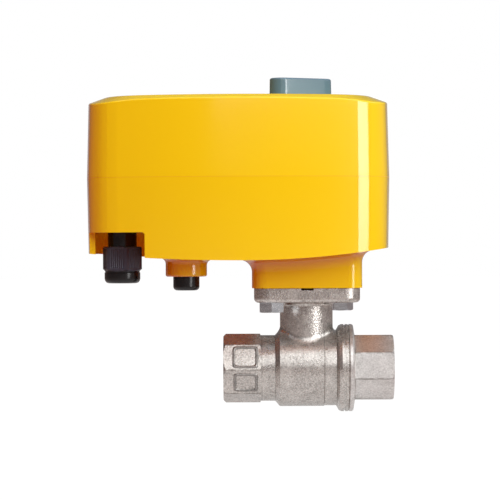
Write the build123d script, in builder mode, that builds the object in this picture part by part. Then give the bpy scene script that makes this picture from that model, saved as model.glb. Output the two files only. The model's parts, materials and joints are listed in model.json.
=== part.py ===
from build123d import *
from math import acos, asin, atan2, ceil, cos, degrees, hypot, pi, radians, sin, sqrt, tan
import os

os.makedirs("parts", exist_ok=True)

# Motorized ball valve: a half-inch two-piece ball valve under a quarter-turn electric actuator.
# X runs along the pipe, Z along the stem, and the origin is the centre of the inlet end face.

# Clearances
running_gap = 0.05
fit_gap = 0.03
thread_gap = 0.08
seat_gap = 0.3

# Valve lengths along the pipe, from the inlet face
valve_length = 69.4
stem_setback = 0.7
inlet_octagon_length = 15.4
barrel_lead = 11.0
inlet_neck_slope = 1.9
collar_width = 5.1
collar_bevel = 0.5
connector_head_length = 18.3
connector_rim = 1.9
connector_slope = 0.6

# Valve diameters
octagon_flats = 26.0
octagon_chamfer = 1.0
outlet_octagon_turn = 16.5
inlet_neck_diameter = 26.9
barrel_diameter = 31.3
barrel_step = 0.25
barrel_step_reach = 10.1
collar_diameter = 35.7
collar_groove_reach = 2.0
collar_groove_width = 0.7
collar_groove_depth = 0.35
port_diameter = 18.64
port_depth = 13.5
port_chamfer = 0.4
passage_diameter = 15.0
connector_shank_gap = 0.4
connector_shank_diameter = 27.4

# Ball, seats and stem
ball_diameter = 24.0
chamber_diameter = 24.9
seat_ring_diameter = 21.2
seat_ring_back = 11.0
seat_ring_front = 7.2
stem_diameter = 12.0
stem_collar_diameter = 14.0
stem_collar_height = 2.5
stem_lift = 0.3
thrust_washer_height = 1.15
blade_thickness = 4.4
blade_length = 10.0
blade_depth = 3.3
stem_square = 9.0
stem_square_height = 9.0
stem_seal_section = 1.6
stem_seal_heights = (19.5, 24.0)
body_seal_section = 1.5

# Actuator pad on the valve
pad_top = 33.0
pad_thickness = 5.9
pad_size = 42.7
pad_corner = 6.0
pad_edge = 1.7
neck_diameter = 21.6
neck_fillet = 1.8
bolt_circle = 40.6
bolt_diameter = 6.0
bolt_head_flats = 9.6
bolt_head_height = 4.0
bolt_grip = 8.5
leak_slot_width = 5.0
leak_slot_depth = 0.9

# Housing outline at the parting seam
housing_reach = 27.6
housing_width = 123.3
housing_depth = 84.0
shoulder_radius = 27.5
corner_radius = 14.0
front_turn = 15.5
shoulder_turn = 25.0
end_turn = 81.0
wall = 2.6
seam_height = 77.4
seam_gap = 0.14
base_draft = 1.1
cover_draft = 1.4

# Base shell
base_lowest = 44.4
camber_setback = 25.5
camber_right_radius = 360.0
camber_left_radius = 700.0
floor_height = 50.6
axle_boss_height = 0.6
axle_depth = 4.0
pedestal_size = 44.4
pedestal_corner = 5.7
pedestal_fillet = 5.0
bay_width = 24.85
bay_front = 21.0
bay_ceiling = 55.6
bay_skirt = 2.3
bay_corner = 1.2
insert_diameter = 8.9
insert_height = 9.0
bolt_tip_room = 1.0

# Cover shell
roof_height = 110.0
roof_slope = 20.0
roof_side_inset = 6.9
roof_front_inset = 4.7
roof_shoulder_radius = 32.0
roof_corner_radius = 22.0
cover_edge = 0.7

# Cover screws, driven from underneath
screw_inset_x = 11.8
screw_inset_y = 14.0
screw_post_radius = 4.2
screw_seat = 68.0
screw_diameter = 3.1
screw_head_diameter = 6.2
screw_head_height = 2.4
screw_grip = 18.0
gasket_width = 1.2
gasket_depth = 1.2

# Drive shaft and its bearings
rest_turn = 25.0
travel_low = -25.0
travel_high = 65.0
socket_diameter = 19.0
socket_depth = 9.6
journal_diameter = 12.0
top_journal_diameter = 10.0
gear_seat_diameter = 14.0
shaft_flat = 1.2
shaft_step_height = 88.0
bushing_wall = 2.0
bushing_height = 12.0
ring_thickness = 1.0
ring_wall = 2.5
shaft_seal_section = 1.9
cover_boss_wall = 2.2
cover_boss_depth = 6.5

# Knob
knob_width = 10.0
knob_long_reach = 15.7
knob_short_reach = 11.4
knob_height = 8.1
knob_edge = 0.8
knob_draft = 1.0
knob_crown = 1.4

# Gear train: tooth modules, tooth counts and face widths
pressure_angle = 25.0
tooth_addendum = 0.8
tooth_dedendum = 1.0
tooth_backlash = 0.12
sector_module = 1.0
sector_count = 50
middle_module = 0.8
middle_count = 42
clutch_module = 0.6
clutch_count = 50
pinion_count = 12
sector_face = 6.0
middle_face = 4.0
clutch_face = 3.0
gear_step = 0.6
engaged_margin = 8.0
hub_wall = 3.0
lightening_diameter = 8.0
stop_radius = 3.0
stop_reach = 21.0

# Release button under the clutch gear
button_reach_x = 48.7
button_y = -14.0
button_diameter = 10.6
button_tip = 32.2
button_edge = 1.6
button_flange_diameter = 13.2
button_flange_height = 2.0
button_travel = 4.0
boss_diameter = 16.7
boss_bottom = 37.8
boss_fillet = 2.2
boss_ledge = 2.6
retainer_diameter = 17.0
retainer_thickness = 1.2
clutch_axle_diameter = 4.0
axle_diameter = 5.0
clip_thickness = 0.8
clip_wall = 1.3
spring_wire = 0.6
spring_diameter = 9.0
button_seal_section = 1.2
spring_turns = 4.0

# Gear plate and what stands on it
plate_thickness = 2.0
plate_gap = 4.45
plate_lap = 1.6
plate_side_gap = 20.0
plate_corner = 6.0
plate_post_inset = (4.0, 6.0)
board_post_reach = 20.0
board_post_lap = 2.6
board_post_inset = (15.0, 13.0)
board_support_inset = 4.0
switch_ledge_back = 26.5
plate_post_radius = 3.4
plate_screw_diameter = 3.0
plate_screw_length = 9.0
plate_screw_head = 5.4
plate_screw_head_height = 2.0

# Gear motor
motor_turn = 80.0
motor_offset = 8.0
gearbox_diameter = 44.0
gearbox_height = 8.0
motor_can_diameter = 40.0
motor_can_height = 12.0
motor_can_edge = 1.5
motor_shaft_diameter = 3.0
motor_ear_reach = 25.0
motor_ear_turn = 170.0
motor_ear_width = 9.0
motor_ear_thickness = 1.6
motor_boss_diameter = 8.0
motor_boss_height = 1.6
motor_shaft_depth = 4.0

# Limit switches and their cams
cam_height = 4.0
cam_radius = 8.6
cam_lobe_radius = 11.0
cam_lobe_turn = 40.0
cam_flank_turn = 20.0
switch_length = 20.0
switch_depth = 10.0
switch_height = 6.4
switch_face = 15.5
switch_screw_pitch = 9.5
switch_screw_inset = 7.0
switch_screw_diameter = 2.2
switch_screw_head = 4.0
switch_screw_head_height = 1.4
lever_thickness = 0.4
lever_width = 3.6
lever_roller = 2.4
lever_reach = 9.0
lever_tail = 1.5

# Circuit board
board_inset_left = 18.25
board_shaft_gap = 16.0
board_inset_front = 11.0
board_inset_back = 9.0
board_gap = 3.5
board_thickness = 1.6
spacer_diameter = 5.5
terminal_size = (10.0, 25.4, 8.5)
terminal_inset = (5.5, 22.0)
terminal_pitch = 5.08
terminal_count = 5
terminal_hole = 3.2
capacitor_size = (20.0, 8.0, 8.0)
capacitor_inset = (18.0, 9.0)
capacitor_sleeve = 1.0

# Cable gland
gland_inset_x = 14.75
gland_inset_y = 28.0
gland_neck_diameter = 11.7
gland_thread_diameter = 10.4
gland_bore_diameter = 8.4
gland_top = 63.0
gland_neck_bottom = 42.0
gland_nut_flats = 14.3
gland_nut_turn = 45.0
gland_nut_top = 50.0
gland_nut_hex_bottom = 40.4
gland_collar_diameter = 14.4
gland_collar_top = 39.4
gland_collar_bottom = 37.3
gland_nut_bottom = 35.2
gland_mouth_diameter = 9.0
gland_seal_bottom = 37.0
cable_diameter = 6.4
lock_nut_flats = 14.0
lock_nut_height = 3.3

# Places that follow from the sizes above
stem_x = valve_length / 2 - stem_setback
joint_x = valve_length - connector_head_length
barrel_start = stem_x - barrel_lead
inlet_neck_end = barrel_start - inlet_neck_slope
barrel_step_x = joint_x - barrel_step_reach
collar_start = joint_x - collar_width
collar_groove_x = joint_x - collar_groove_reach
housing_x = stem_x - housing_reach
housing_left = housing_x - housing_width / 2
housing_right = housing_x + housing_width / 2
camber_x = stem_x - camber_setback
button_x = stem_x - button_reach_x
bay_right = housing_left + bay_width
gland_x = housing_left + gland_inset_x
gland_y = gland_inset_y - housing_depth / 2
plate_left = bay_right - plate_lap
plate_right = housing_right - wall - plate_gap
plate_half_depth = housing_depth / 2 - plate_side_gap
plate_post_x = plate_right - plate_post_inset[0]
plate_post_y = plate_half_depth - plate_post_inset[1]
plate_posts = ((plate_post_x, plate_post_y), (plate_post_x, -plate_post_y))
board_post_x = stem_x - board_post_reach
board_posts = (
    (board_post_x, housing_depth / 2 - board_post_inset[1]),
    (bay_right - board_post_lap, board_post_inset[0] - housing_depth / 2),
)
board_support = (board_post_x, board_support_inset - plate_half_depth)
board_left = housing_left + board_inset_left
board_right = stem_x - board_shaft_gap
board_front = board_inset_front - housing_depth / 2
board_back = housing_depth / 2 - board_inset_back
terminal_place = (board_left + terminal_inset[0], board_front + terminal_inset[1])
capacitor_place = (board_right - capacitor_inset[0], board_front + capacitor_inset[1])
pad_bottom = pad_top - pad_thickness
bolt_reach = bolt_circle / 2 / sqrt(2)
base_rim = seam_height - seam_gap / 2
cover_rim = seam_height + seam_gap / 2
stem_collar_bottom = ball_diameter / 2 + stem_lift
stem_collar_top = stem_collar_bottom + stem_collar_height
thrust_top = stem_collar_top + running_gap + thrust_washer_height
stem_top = pad_top + stem_square_height
sector_bottom = floor_height + 1.0
sector_top = sector_bottom + sector_face
middle_bottom = sector_top + gear_step
middle_top = middle_bottom + middle_face
clutch_bottom = middle_top + gear_step
clutch_top = clutch_bottom + clutch_face
plate_bottom = clutch_top + button_travel + clip_thickness + gear_step
plate_top = plate_bottom + plate_thickness
gearbox_top = plate_top + gearbox_height
motor_top = gearbox_top + motor_can_height
board_bottom = motor_top + board_gap
board_top = board_bottom + board_thickness
ceiling_inside = roof_height - wall
bay_floor = bay_ceiling + wall
axle_bottom = floor_height - axle_depth
button_bore = button_diameter / 2 + running_gap
button_ledge = boss_bottom + boss_ledge
button_seal_height = boss_bottom + boss_ledge / 2
knob_bottom = roof_height + seat_gap
knob_top = knob_bottom + knob_height
screw_places = [
    (housing_x + sx * (housing_width / 2 - screw_inset_x), sy * (housing_depth / 2 - screw_inset_y))
    for sx in (-1, 1)
    for sy in (-1, 1)
]

upright = (Align.CENTER, Align.CENTER, Align.MIN)


def level(x, y, z, turn=0.0):
    # Horizontal plane at a point, turned about the vertical
    heading = (cos(radians(turn)), sin(radians(turn)), 0)
    return Plane(origin=(x, y, z), x_dir=heading, z_dir=(0, 0, 1))


def turned(x, y, outline):
    # Solid of revolution about a vertical axis, from radius and height pairs
    with BuildPart() as piece:
        with BuildSketch(Plane(origin=(x, y, 0), x_dir=(1, 0, 0), z_dir=(0, -1, 0))):
            with BuildLine():
                Polyline(*outline, close=True)
            make_face()
        revolve(axis=Axis((x, y, 0), (0, 0, 1)))
    return piece.part


def turned_on_pipe(outline):
    # Solid of revolution about the pipe axis, from length and radius pairs
    with BuildPart() as piece:
        with BuildSketch(Plane.XZ):
            with BuildLine():
                Polyline(*outline, close=True)
            make_face()
        revolve(axis=Axis.X)
    return piece.part


def tube(x, y, bottom, top, outer, inner):
    # Upright ring or sleeve
    return turned(x, y, [(inner, bottom), (outer, bottom), (outer, top), (inner, top)])


def hexagon(x, y, bottom, top, flats, turn, bevel_at_bottom):
    # Hexagon prism with the corners of one end turned off
    corner = flats / sqrt(3)
    bevel = corner - flats / 2
    low, high = (bottom, top) if bevel_at_bottom else (top, bottom)
    step = bevel / 2 if bevel_at_bottom else -bevel / 2
    with BuildPart() as piece:
        with BuildSketch(level(x, y, bottom)):
            RegularPolygon(flats / 2, 6, major_radius=False, rotation=turn)
        extrude(amount=top - bottom)
        outline = [(0, low), (flats / 2, low), (corner, low + step), (corner, high), (0, high)]
        add(turned(x, y, outline), mode=Mode.INTERSECT)
    return piece.part


def octagon_end(mouth_x, inner_x, turn):
    # Octagon wrench section with its mouth edge turned to a cone
    corner = octagon_flats / 2 / cos(pi / 8)
    step = octagon_chamfer if inner_x > mouth_x else -octagon_chamfer
    with BuildPart() as piece:
        with BuildSketch(Plane.YZ.offset(min(mouth_x, inner_x))):
            RegularPolygon(octagon_flats / 2, 8, major_radius=False, rotation=turn)
        extrude(amount=abs(inner_x - mouth_x))
        small = corner - octagon_chamfer
        outline = [
            (mouth_x, 0),
            (mouth_x, small),
            (mouth_x + step, corner),
            (inner_x - step * 0.4, corner),
            (inner_x, corner - octagon_chamfer),
            (inner_x, 0),
        ]
        add(turned_on_pipe(outline), mode=Mode.INTERSECT)
    return piece.part


def finish(piece, name):
    # Label a finished piece and write its file
    piece.part.label = name
    export_step(piece.part, f"parts/{name}.step")


# Valve body: inlet octagon, ball barrel, collar, stem neck and actuator pad in one casting
port_radius = port_diameter / 2
passage_radius = passage_diameter / 2
chamber_radius = chamber_diameter / 2
seat_radius = seat_ring_diameter / 2
shank_radius = connector_shank_diameter / 2
shank_bore_radius = shank_radius + thread_gap
barrel_radius = barrel_diameter / 2
collar_radius = collar_diameter / 2
inlet_neck_radius = inlet_neck_diameter / 2
shank_end = stem_x + seat_ring_front + connector_shank_gap
inlet_seat_back = stem_x - seat_ring_back
outlet_seat_back = stem_x + seat_ring_back
port_cone = port_radius - passage_radius

with BuildPart() as pad:
    with BuildSketch(level(stem_x, 0, pad_bottom)):
        RectangleRounded(pad_size, pad_size, pad_corner)
    extrude(amount=pad_thickness)
    fillet(pad.edges().group_by(Axis.Z)[0], pad_edge)
    fillet(pad.edges().group_by(Axis.Z)[-1], octagon_chamfer / 4)
    with BuildSketch(level(stem_x, 0, pad_bottom)):
        with PolarLocations(bolt_circle / 2, 4, start_angle=45):
            Circle(bolt_diameter / 2 + seat_gap)
    extrude(amount=pad_thickness, mode=Mode.SUBTRACT)

with BuildPart() as valve_body:
    add(
        turned_on_pipe(
            [
                (inlet_octagon_length - octagon_chamfer, 0),
                (inlet_octagon_length - octagon_chamfer, inlet_neck_radius),
                (inlet_neck_end, inlet_neck_radius),
                (barrel_start, barrel_radius),
                (barrel_step_x, barrel_radius),
                (barrel_step_x + barrel_step, barrel_radius - barrel_step),
                (collar_start, barrel_radius - barrel_step),
                (collar_start + (collar_radius - barrel_radius) / 2, collar_radius - collar_bevel),
                (collar_start + collar_radius - barrel_radius, collar_radius),
                (collar_groove_x, collar_radius),
                (collar_groove_x, collar_radius - collar_groove_depth),
                (collar_groove_x + collar_groove_width, collar_radius - collar_groove_depth),
                (collar_groove_x + collar_groove_width, collar_radius),
                (joint_x - collar_groove_depth, collar_radius),
                (joint_x, collar_radius - collar_groove_depth),
                (joint_x, 0),
            ]
        )
    )
    add(octagon_end(0, inlet_octagon_length, 0))
    with Locations((stem_x, 0, 0)):
        Cylinder(neck_diameter / 2, pad_bottom + pad_edge, align=upright)
    add(pad.part)
    neck_root = valve_body.edges().filter_by(GeomType.CIRCLE).filter_by_position(
        Axis.Z, pad_bottom - fit_gap, pad_bottom + fit_gap
    )
    fillet(neck_root.filter_by(lambda edge: abs(edge.radius - neck_diameter / 2) < fit_gap), neck_fillet)
    add(
        turned_on_pipe(
            [
                (0, 0),
                (0, port_radius + port_chamfer),
                (port_chamfer, port_radius),
                (port_depth, port_radius),
                (port_depth + port_cone, passage_radius),
                (inlet_seat_back, passage_radius),
                (inlet_seat_back, seat_radius),
                (stem_x - seat_ring_front, seat_radius),
                (stem_x - seat_ring_front, chamber_radius),
                (shank_end - seat_gap, chamber_radius),
                (shank_end - seat_gap, shank_bore_radius),
                (joint_x, shank_bore_radius),
                (joint_x, 0),
            ]
        ),
        mode=Mode.SUBTRACT,
    )
    stem_bore_radius = stem_diameter / 2 + running_gap
    stem_collar_bore = stem_collar_diameter / 2 + fit_gap + running_gap
    add(
        turned(
            stem_x,
            0,
            [
                (0, passage_radius),
                (stem_collar_bore, passage_radius),
                (stem_collar_bore, thrust_top),
                (stem_bore_radius, thrust_top),
                (stem_bore_radius, pad_top - leak_slot_depth),
                (stem_bore_radius + leak_slot_depth, pad_top),
                (0, pad_top),
            ],
        ),
        mode=Mode.SUBTRACT,
    )
    with Locations((stem_x, -pad_size / 4, pad_top)):
        Box(
            leak_slot_width,
            pad_size / 2,
            leak_slot_depth,
            align=(Align.CENTER, Align.CENTER, Align.MAX),
            mode=Mode.SUBTRACT,
        )
finish(valve_body, "valve_body")

# End connector: outlet octagon with a threaded shank that screws into the body
seal_groove_start = joint_x - 2 * body_seal_section
with BuildPart() as end_connector:
    add(
        turned_on_pipe(
            [
                (shank_end, 0),
                (shank_end, shank_radius - collar_groove_width),
                (shank_end + collar_groove_width, shank_radius),
                (seal_groove_start, shank_radius),
                (seal_groove_start, shank_bore_radius - body_seal_section),
                (joint_x - body_seal_section / 2, shank_bore_radius - body_seal_section),
                (joint_x - body_seal_section / 2, shank_radius),
                (joint_x, shank_radius),
                (joint_x, collar_radius - collar_groove_depth),
                (joint_x + collar_groove_depth, collar_radius),
                (joint_x + connector_rim - collar_bevel, collar_radius),
                (joint_x + connector_rim, collar_radius - collar_bevel),
                (joint_x + connector_rim + connector_slope, inlet_neck_radius),
                (joint_x + connector_rim + 2 * connector_slope, 0),
            ]
        )
    )
    add(octagon_end(valve_length, joint_x + connector_rim, outlet_octagon_turn))
    add(
        turned_on_pipe(
            [
                (shank_end, 0),
                (shank_end, seat_radius),
                (outlet_seat_back, seat_radius),
                (outlet_seat_back, passage_radius),
                (valve_length - port_depth - port_cone, passage_radius),
                (valve_length - port_depth, port_radius),
                (valve_length - port_chamfer, port_radius),
                (valve_length, port_radius + port_chamfer),
                (valve_length, 0),
            ]
        ),
        mode=Mode.SUBTRACT,
    )
finish(end_connector, "end_connector")

with BuildPart() as body_seal:
    with Locations(Plane.YZ.offset((seal_groove_start + joint_x - body_seal_section / 2) / 2)):
        Torus(shank_bore_radius - body_seal_section / 2 - fit_gap, body_seal_section / 2 - fit_gap)
finish(body_seal, "body_seal")

# Two seat rings cupped to the ball
cup_radius = ball_diameter / 2 + running_gap
cup_front = (seat_ring_front, sqrt(cup_radius**2 - seat_ring_front**2))
cup_back = (sqrt(cup_radius**2 - passage_radius**2), passage_radius)
cup_turn = (atan2(cup_front[1], cup_front[0]) + atan2(cup_back[1], cup_back[0])) / 2
cup_middle = (cup_radius * cos(cup_turn), cup_radius * sin(cup_turn))
with BuildPart() as seat_rings:
    for side in (-1, 1):
        with BuildSketch(Plane.XZ):
            with BuildLine():
                front, middle, back = [
                    (stem_x + side * reach, radius) for reach, radius in (cup_front, cup_middle, cup_back)
                ]
                ThreePointArc(front, middle, back)
                Polyline(
                    back,
                    (stem_x + side * seat_ring_back, passage_radius),
                    (stem_x + side * seat_ring_back, seat_radius - running_gap),
                    (stem_x + side * seat_ring_front, seat_radius - running_gap),
                    front,
                )
            make_face()
        revolve(axis=Axis.X)
finish(seat_rings, "seat_rings")

# Ball: its bore lies along the knob, and the stem slot across it
blade_bottom = ball_diameter / 2 + stem_lift - blade_depth
with BuildPart() as ball:
    with Locations(level(stem_x, 0, 0, rest_turn)):
        Sphere(ball_diameter / 2)
        Cylinder(passage_radius, ball_diameter, rotation=(0, 90, 0), mode=Mode.SUBTRACT)
    with Locations(level(stem_x, 0, blade_bottom - seat_gap, rest_turn)):
        Box(
            blade_thickness + 2 * running_gap,
            ball_diameter,
            ball_diameter / 2,
            align=upright,
            mode=Mode.SUBTRACT,
        )
finish(ball, "ball")

# Stem: blade, anti-blowout collar, two seal grooves and the square drive
stem_radius = stem_diameter / 2
groove_radius = stem_bore_radius - stem_seal_section
groove_half = stem_seal_section / 2 + running_gap
with BuildPart() as valve_stem:
    seal_grooves = [
        point
        for height in stem_seal_heights
        for point in (
            (stem_radius, height - groove_half),
            (groove_radius, height - groove_half),
            (groove_radius, height + groove_half),
            (stem_radius, height + groove_half),
        )
    ]
    add(
        turned(
            stem_x,
            0,
            [
                (0, stem_collar_bottom),
                (stem_collar_diameter / 2, stem_collar_bottom),
                (stem_collar_diameter / 2, stem_collar_top),
                (stem_radius, stem_collar_top),
                *seal_grooves,
                (stem_radius, stem_top - seat_gap),
                (stem_radius - seat_gap, stem_top),
                (0, stem_top),
            ],
        )
    )
    with BuildSketch(level(stem_x, 0, pad_top, rest_turn)):
        Circle(stem_diameter)
        RectangleRounded(stem_square, stem_square, seat_gap, mode=Mode.SUBTRACT)
    extrude(amount=stem_square_height, mode=Mode.SUBTRACT)
    with BuildSketch(level(stem_x, 0, blade_bottom, rest_turn)):
        Rectangle(blade_thickness, blade_length)
    extrude(amount=stem_collar_bottom - blade_bottom)
finish(valve_stem, "valve_stem")

with BuildPart() as stem_seals:
    for height in stem_seal_heights:
        with Locations((stem_x, 0, height)):
            Torus(stem_bore_radius - stem_seal_section / 2, stem_seal_section / 2 - running_gap)
finish(stem_seals, "stem_seals")

with BuildPart() as thrust_washer:
    washer_bottom = stem_collar_top + running_gap
    add(tube(stem_x, 0, washer_bottom, thrust_top, stem_collar_bore - fit_gap, stem_bore_radius))
finish(thrust_washer, "thrust_washer")

# Two hexagon bolts on one diagonal of the pad
bolt_places = ((stem_x - bolt_reach, -bolt_reach, 30.0), (stem_x + bolt_reach, bolt_reach, 2.0))
with BuildPart() as flange_bolts:
    for x, y, turn in bolt_places:
        add(hexagon(x, y, pad_bottom - bolt_head_height, pad_bottom, bolt_head_flats, turn, True))
        with Locations((x, y, pad_bottom)):
            Cylinder(bolt_diameter / 2, pad_thickness + bolt_grip, align=upright)
finish(flange_bolts, "flange_bolts")


def pillow_plan(z, half_width, half_depth, shoulder, corner):
    # Housing outline at one height: bulged sides joined by a shoulder arc and a corner arc.
    # The side radii follow from the width and depth, and every arc is tangent to the next.
    sines = [sin(radians(turn)) for turn in (front_turn, shoulder_turn, end_turn)]
    cosines = [cos(radians(turn)) for turn in (front_turn, shoulder_turn, end_turn)]
    across = half_width - shoulder * (sines[1] - sines[0]) - corner * (sines[2] - sines[1])
    along = half_depth - shoulder * (cosines[0] - cosines[1]) - corner * (cosines[1] - cosines[2])
    scale = sines[0] * cosines[2] - (1 - cosines[0]) * (1 - sines[2])
    front_radius = (across * cosines[2] - along * (1 - sines[2])) / scale
    side_radius = (along * sines[0] - across * (1 - cosines[0])) / scale
    front_centre = Vector(0, front_radius - half_depth)
    shoulder_centre = front_centre + Vector(sines[0], -cosines[0]) * (front_radius - shoulder)
    corner_centre = shoulder_centre + Vector(sines[1], -cosines[1]) * (shoulder - corner)
    side_centre = Vector(half_width - side_radius, 0)
    arcs = (
        (front_centre, front_radius, -front_turn, front_turn),
        (shoulder_centre, shoulder, front_turn, shoulder_turn),
        (corner_centre, corner, shoulder_turn, end_turn),
        (side_centre, side_radius, end_turn, 180 - end_turn),
        (Vector(corner_centre.X, -corner_centre.Y), corner, 180 - end_turn, 180 - shoulder_turn),
        (Vector(shoulder_centre.X, -shoulder_centre.Y), shoulder, 180 - shoulder_turn, 180 - front_turn),
    )
    with BuildSketch(level(housing_x, 0, z)) as plan:
        with BuildLine():
            for flip in (1, -1):
                for centre, radius, low, high in arcs:
                    turns = [radians(turn) for turn in (low, (low + high) / 2, high)]
                    points = [
                        (flip * (centre.X + radius * sin(turn)), flip * (centre.Y - radius * cos(turn)))
                        for turn in turns
                    ]
                    ThreePointArc(*points)
        make_face()
    return plan.sketch


def housing_plan(z, inset):
    # Outline of the housing wall at the seam, or inset from it all round
    half_width = housing_width / 2 - inset
    half_depth = housing_depth / 2 - inset
    return pillow_plan(z, half_width, half_depth, shoulder_radius - inset, corner_radius - inset)


def roof_slopes(z):
    # Everything under the flat top and the sloped edges round it
    half_width = housing_width / 2 - roof_side_inset
    half_depth = housing_depth / 2 - roof_front_inset
    top = pillow_plan(z, half_width, half_depth, roof_shoulder_radius, roof_corner_radius)
    with BuildPart() as block:
        extrude(top, amount=seam_height - z, taper=roof_slope - 90)
    return block.part


def camber_at(x):
    # Height of the cambered underside, flatter to the left of its lowest point
    radius = camber_left_radius if x < camber_x else camber_right_radius
    return base_lowest + radius - sqrt(radius**2 - (x - camber_x) ** 2)


# Gear train layout: the wheels' centres and the turn of each from the mesh point
sector_pitch = sector_module * sector_count / 2
middle_pitch = middle_module * middle_count / 2
clutch_pitch = clutch_module * clutch_count / 2
sector_to_middle = sector_pitch + sector_module * pinion_count / 2
middle_to_clutch = middle_pitch + middle_module * pinion_count / 2
clutch_to_motor = clutch_pitch + clutch_module * pinion_count / 2
shaft_to_button = hypot(stem_x - button_x, button_y)
along_line = (middle_to_clutch**2 - sector_to_middle**2 + shaft_to_button**2) / (2 * shaft_to_button)
off_line = sqrt(middle_to_clutch**2 - along_line**2)
line_turn = atan2(-button_y, stem_x - button_x)
middle_x = button_x + along_line * cos(line_turn) - off_line * sin(line_turn)
middle_y = button_y + along_line * sin(line_turn) + off_line * cos(line_turn)
shaft_x = button_x + clutch_to_motor * cos(radians(motor_turn))
shaft_y = button_y + clutch_to_motor * sin(radians(motor_turn))
motor_x = shaft_x + motor_offset * cos(radians(motor_turn))
motor_y = shaft_y + motor_offset * sin(radians(motor_turn))
sector_mesh = degrees(atan2(middle_y, middle_x - stem_x))
middle_mesh = degrees(atan2(button_y - middle_y, button_x - middle_x))
tooth_pitch = 360 / sector_count
teeth_before = ceil((travel_high + engaged_margin) / tooth_pitch)
teeth_after = ceil((engaged_margin - travel_low) / tooth_pitch)
sector_start = sector_mesh - (teeth_before + 0.5) * tooth_pitch
sector_end = sector_mesh + (teeth_after + 0.5) * tooth_pitch
stop_turn = degrees(asin((stop_radius + seat_gap) / stop_reach))
stop_turns = (sector_start + travel_low - stop_turn, sector_end + travel_high + stop_turn)
bushing_radius = socket_diameter / 2 + bushing_wall
bushing_bottom = floor_height - bushing_height
boss_counterbore = button_flange_diameter / 2 + seat_gap
retainer_bottom = floor_height - retainer_thickness

def gasket_ring(z, gap):
    # Outline of the gasket along the middle of the housing rim
    with BuildSketch(level(0, 0, z)) as ring:
        add(housing_plan(0, (wall - gasket_width) / 2 - gap))
        add(housing_plan(0, (wall + gasket_width) / 2 + gap), mode=Mode.SUBTRACT)
    return ring.sketch


# Inside of the base shell: raised floor over the cable bay, posts, travel stops and axle boss
with BuildPart() as base_cavity:
    extrude(housing_plan(base_rim, wall), amount=floor_height - base_rim, taper=base_draft)
    with Locations((bay_right + wall, 0, floor_height)):
        Box(
            housing_width,
            housing_depth,
            bay_floor - floor_height,
            align=(Align.MAX, Align.CENTER, Align.MIN),
            mode=Mode.SUBTRACT,
        )
    for x, y in screw_places:
        with Locations((x, y, floor_height)):
            Cylinder(screw_post_radius, base_rim - floor_height, align=upright, mode=Mode.SUBTRACT)
    for x, y in plate_posts + board_posts:
        with Locations((x, y, floor_height)):
            Cylinder(plate_post_radius, plate_bottom - floor_height, align=upright, mode=Mode.SUBTRACT)
    for turn in stop_turns:
        with Locations((stem_x, 0, floor_height)):
            with PolarLocations(stop_reach, 1, start_angle=turn):
                Cylinder(stop_radius, sector_face, align=upright, mode=Mode.SUBTRACT)
    with Locations((middle_x, middle_y, floor_height)):
        Cylinder(axle_diameter, axle_boss_height, align=upright, mode=Mode.SUBTRACT)

# Space of the cable bay, open below and to the front
with BuildPart() as cable_bay:
    bay_inset = bay_skirt + (base_rim - bay_ceiling) * tan(radians(base_draft))
    extrude(housing_plan(bay_ceiling, bay_inset), amount=pad_top - bay_ceiling, taper=base_draft)
    with Locations((bay_right, 0, bay_ceiling)):
        Box(
            housing_width,
            housing_depth,
            bay_ceiling - pad_top,
            align=(Align.MAX, Align.CENTER, Align.MAX),
            mode=Mode.INTERSECT,
        )
    with Locations((bay_right, -bay_front, bay_ceiling)):
        Box(
            2 * bay_width,
            housing_depth,
            bay_ceiling - pad_top,
            align=(Align.MAX, Align.MAX, Align.MAX),
        )
    fillet(
        cable_bay.edges().filter_by(Axis.Y).group_by(Axis.Z)[-1].sort_by(Axis.X)[-1],
        bay_corner,
    )

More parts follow.
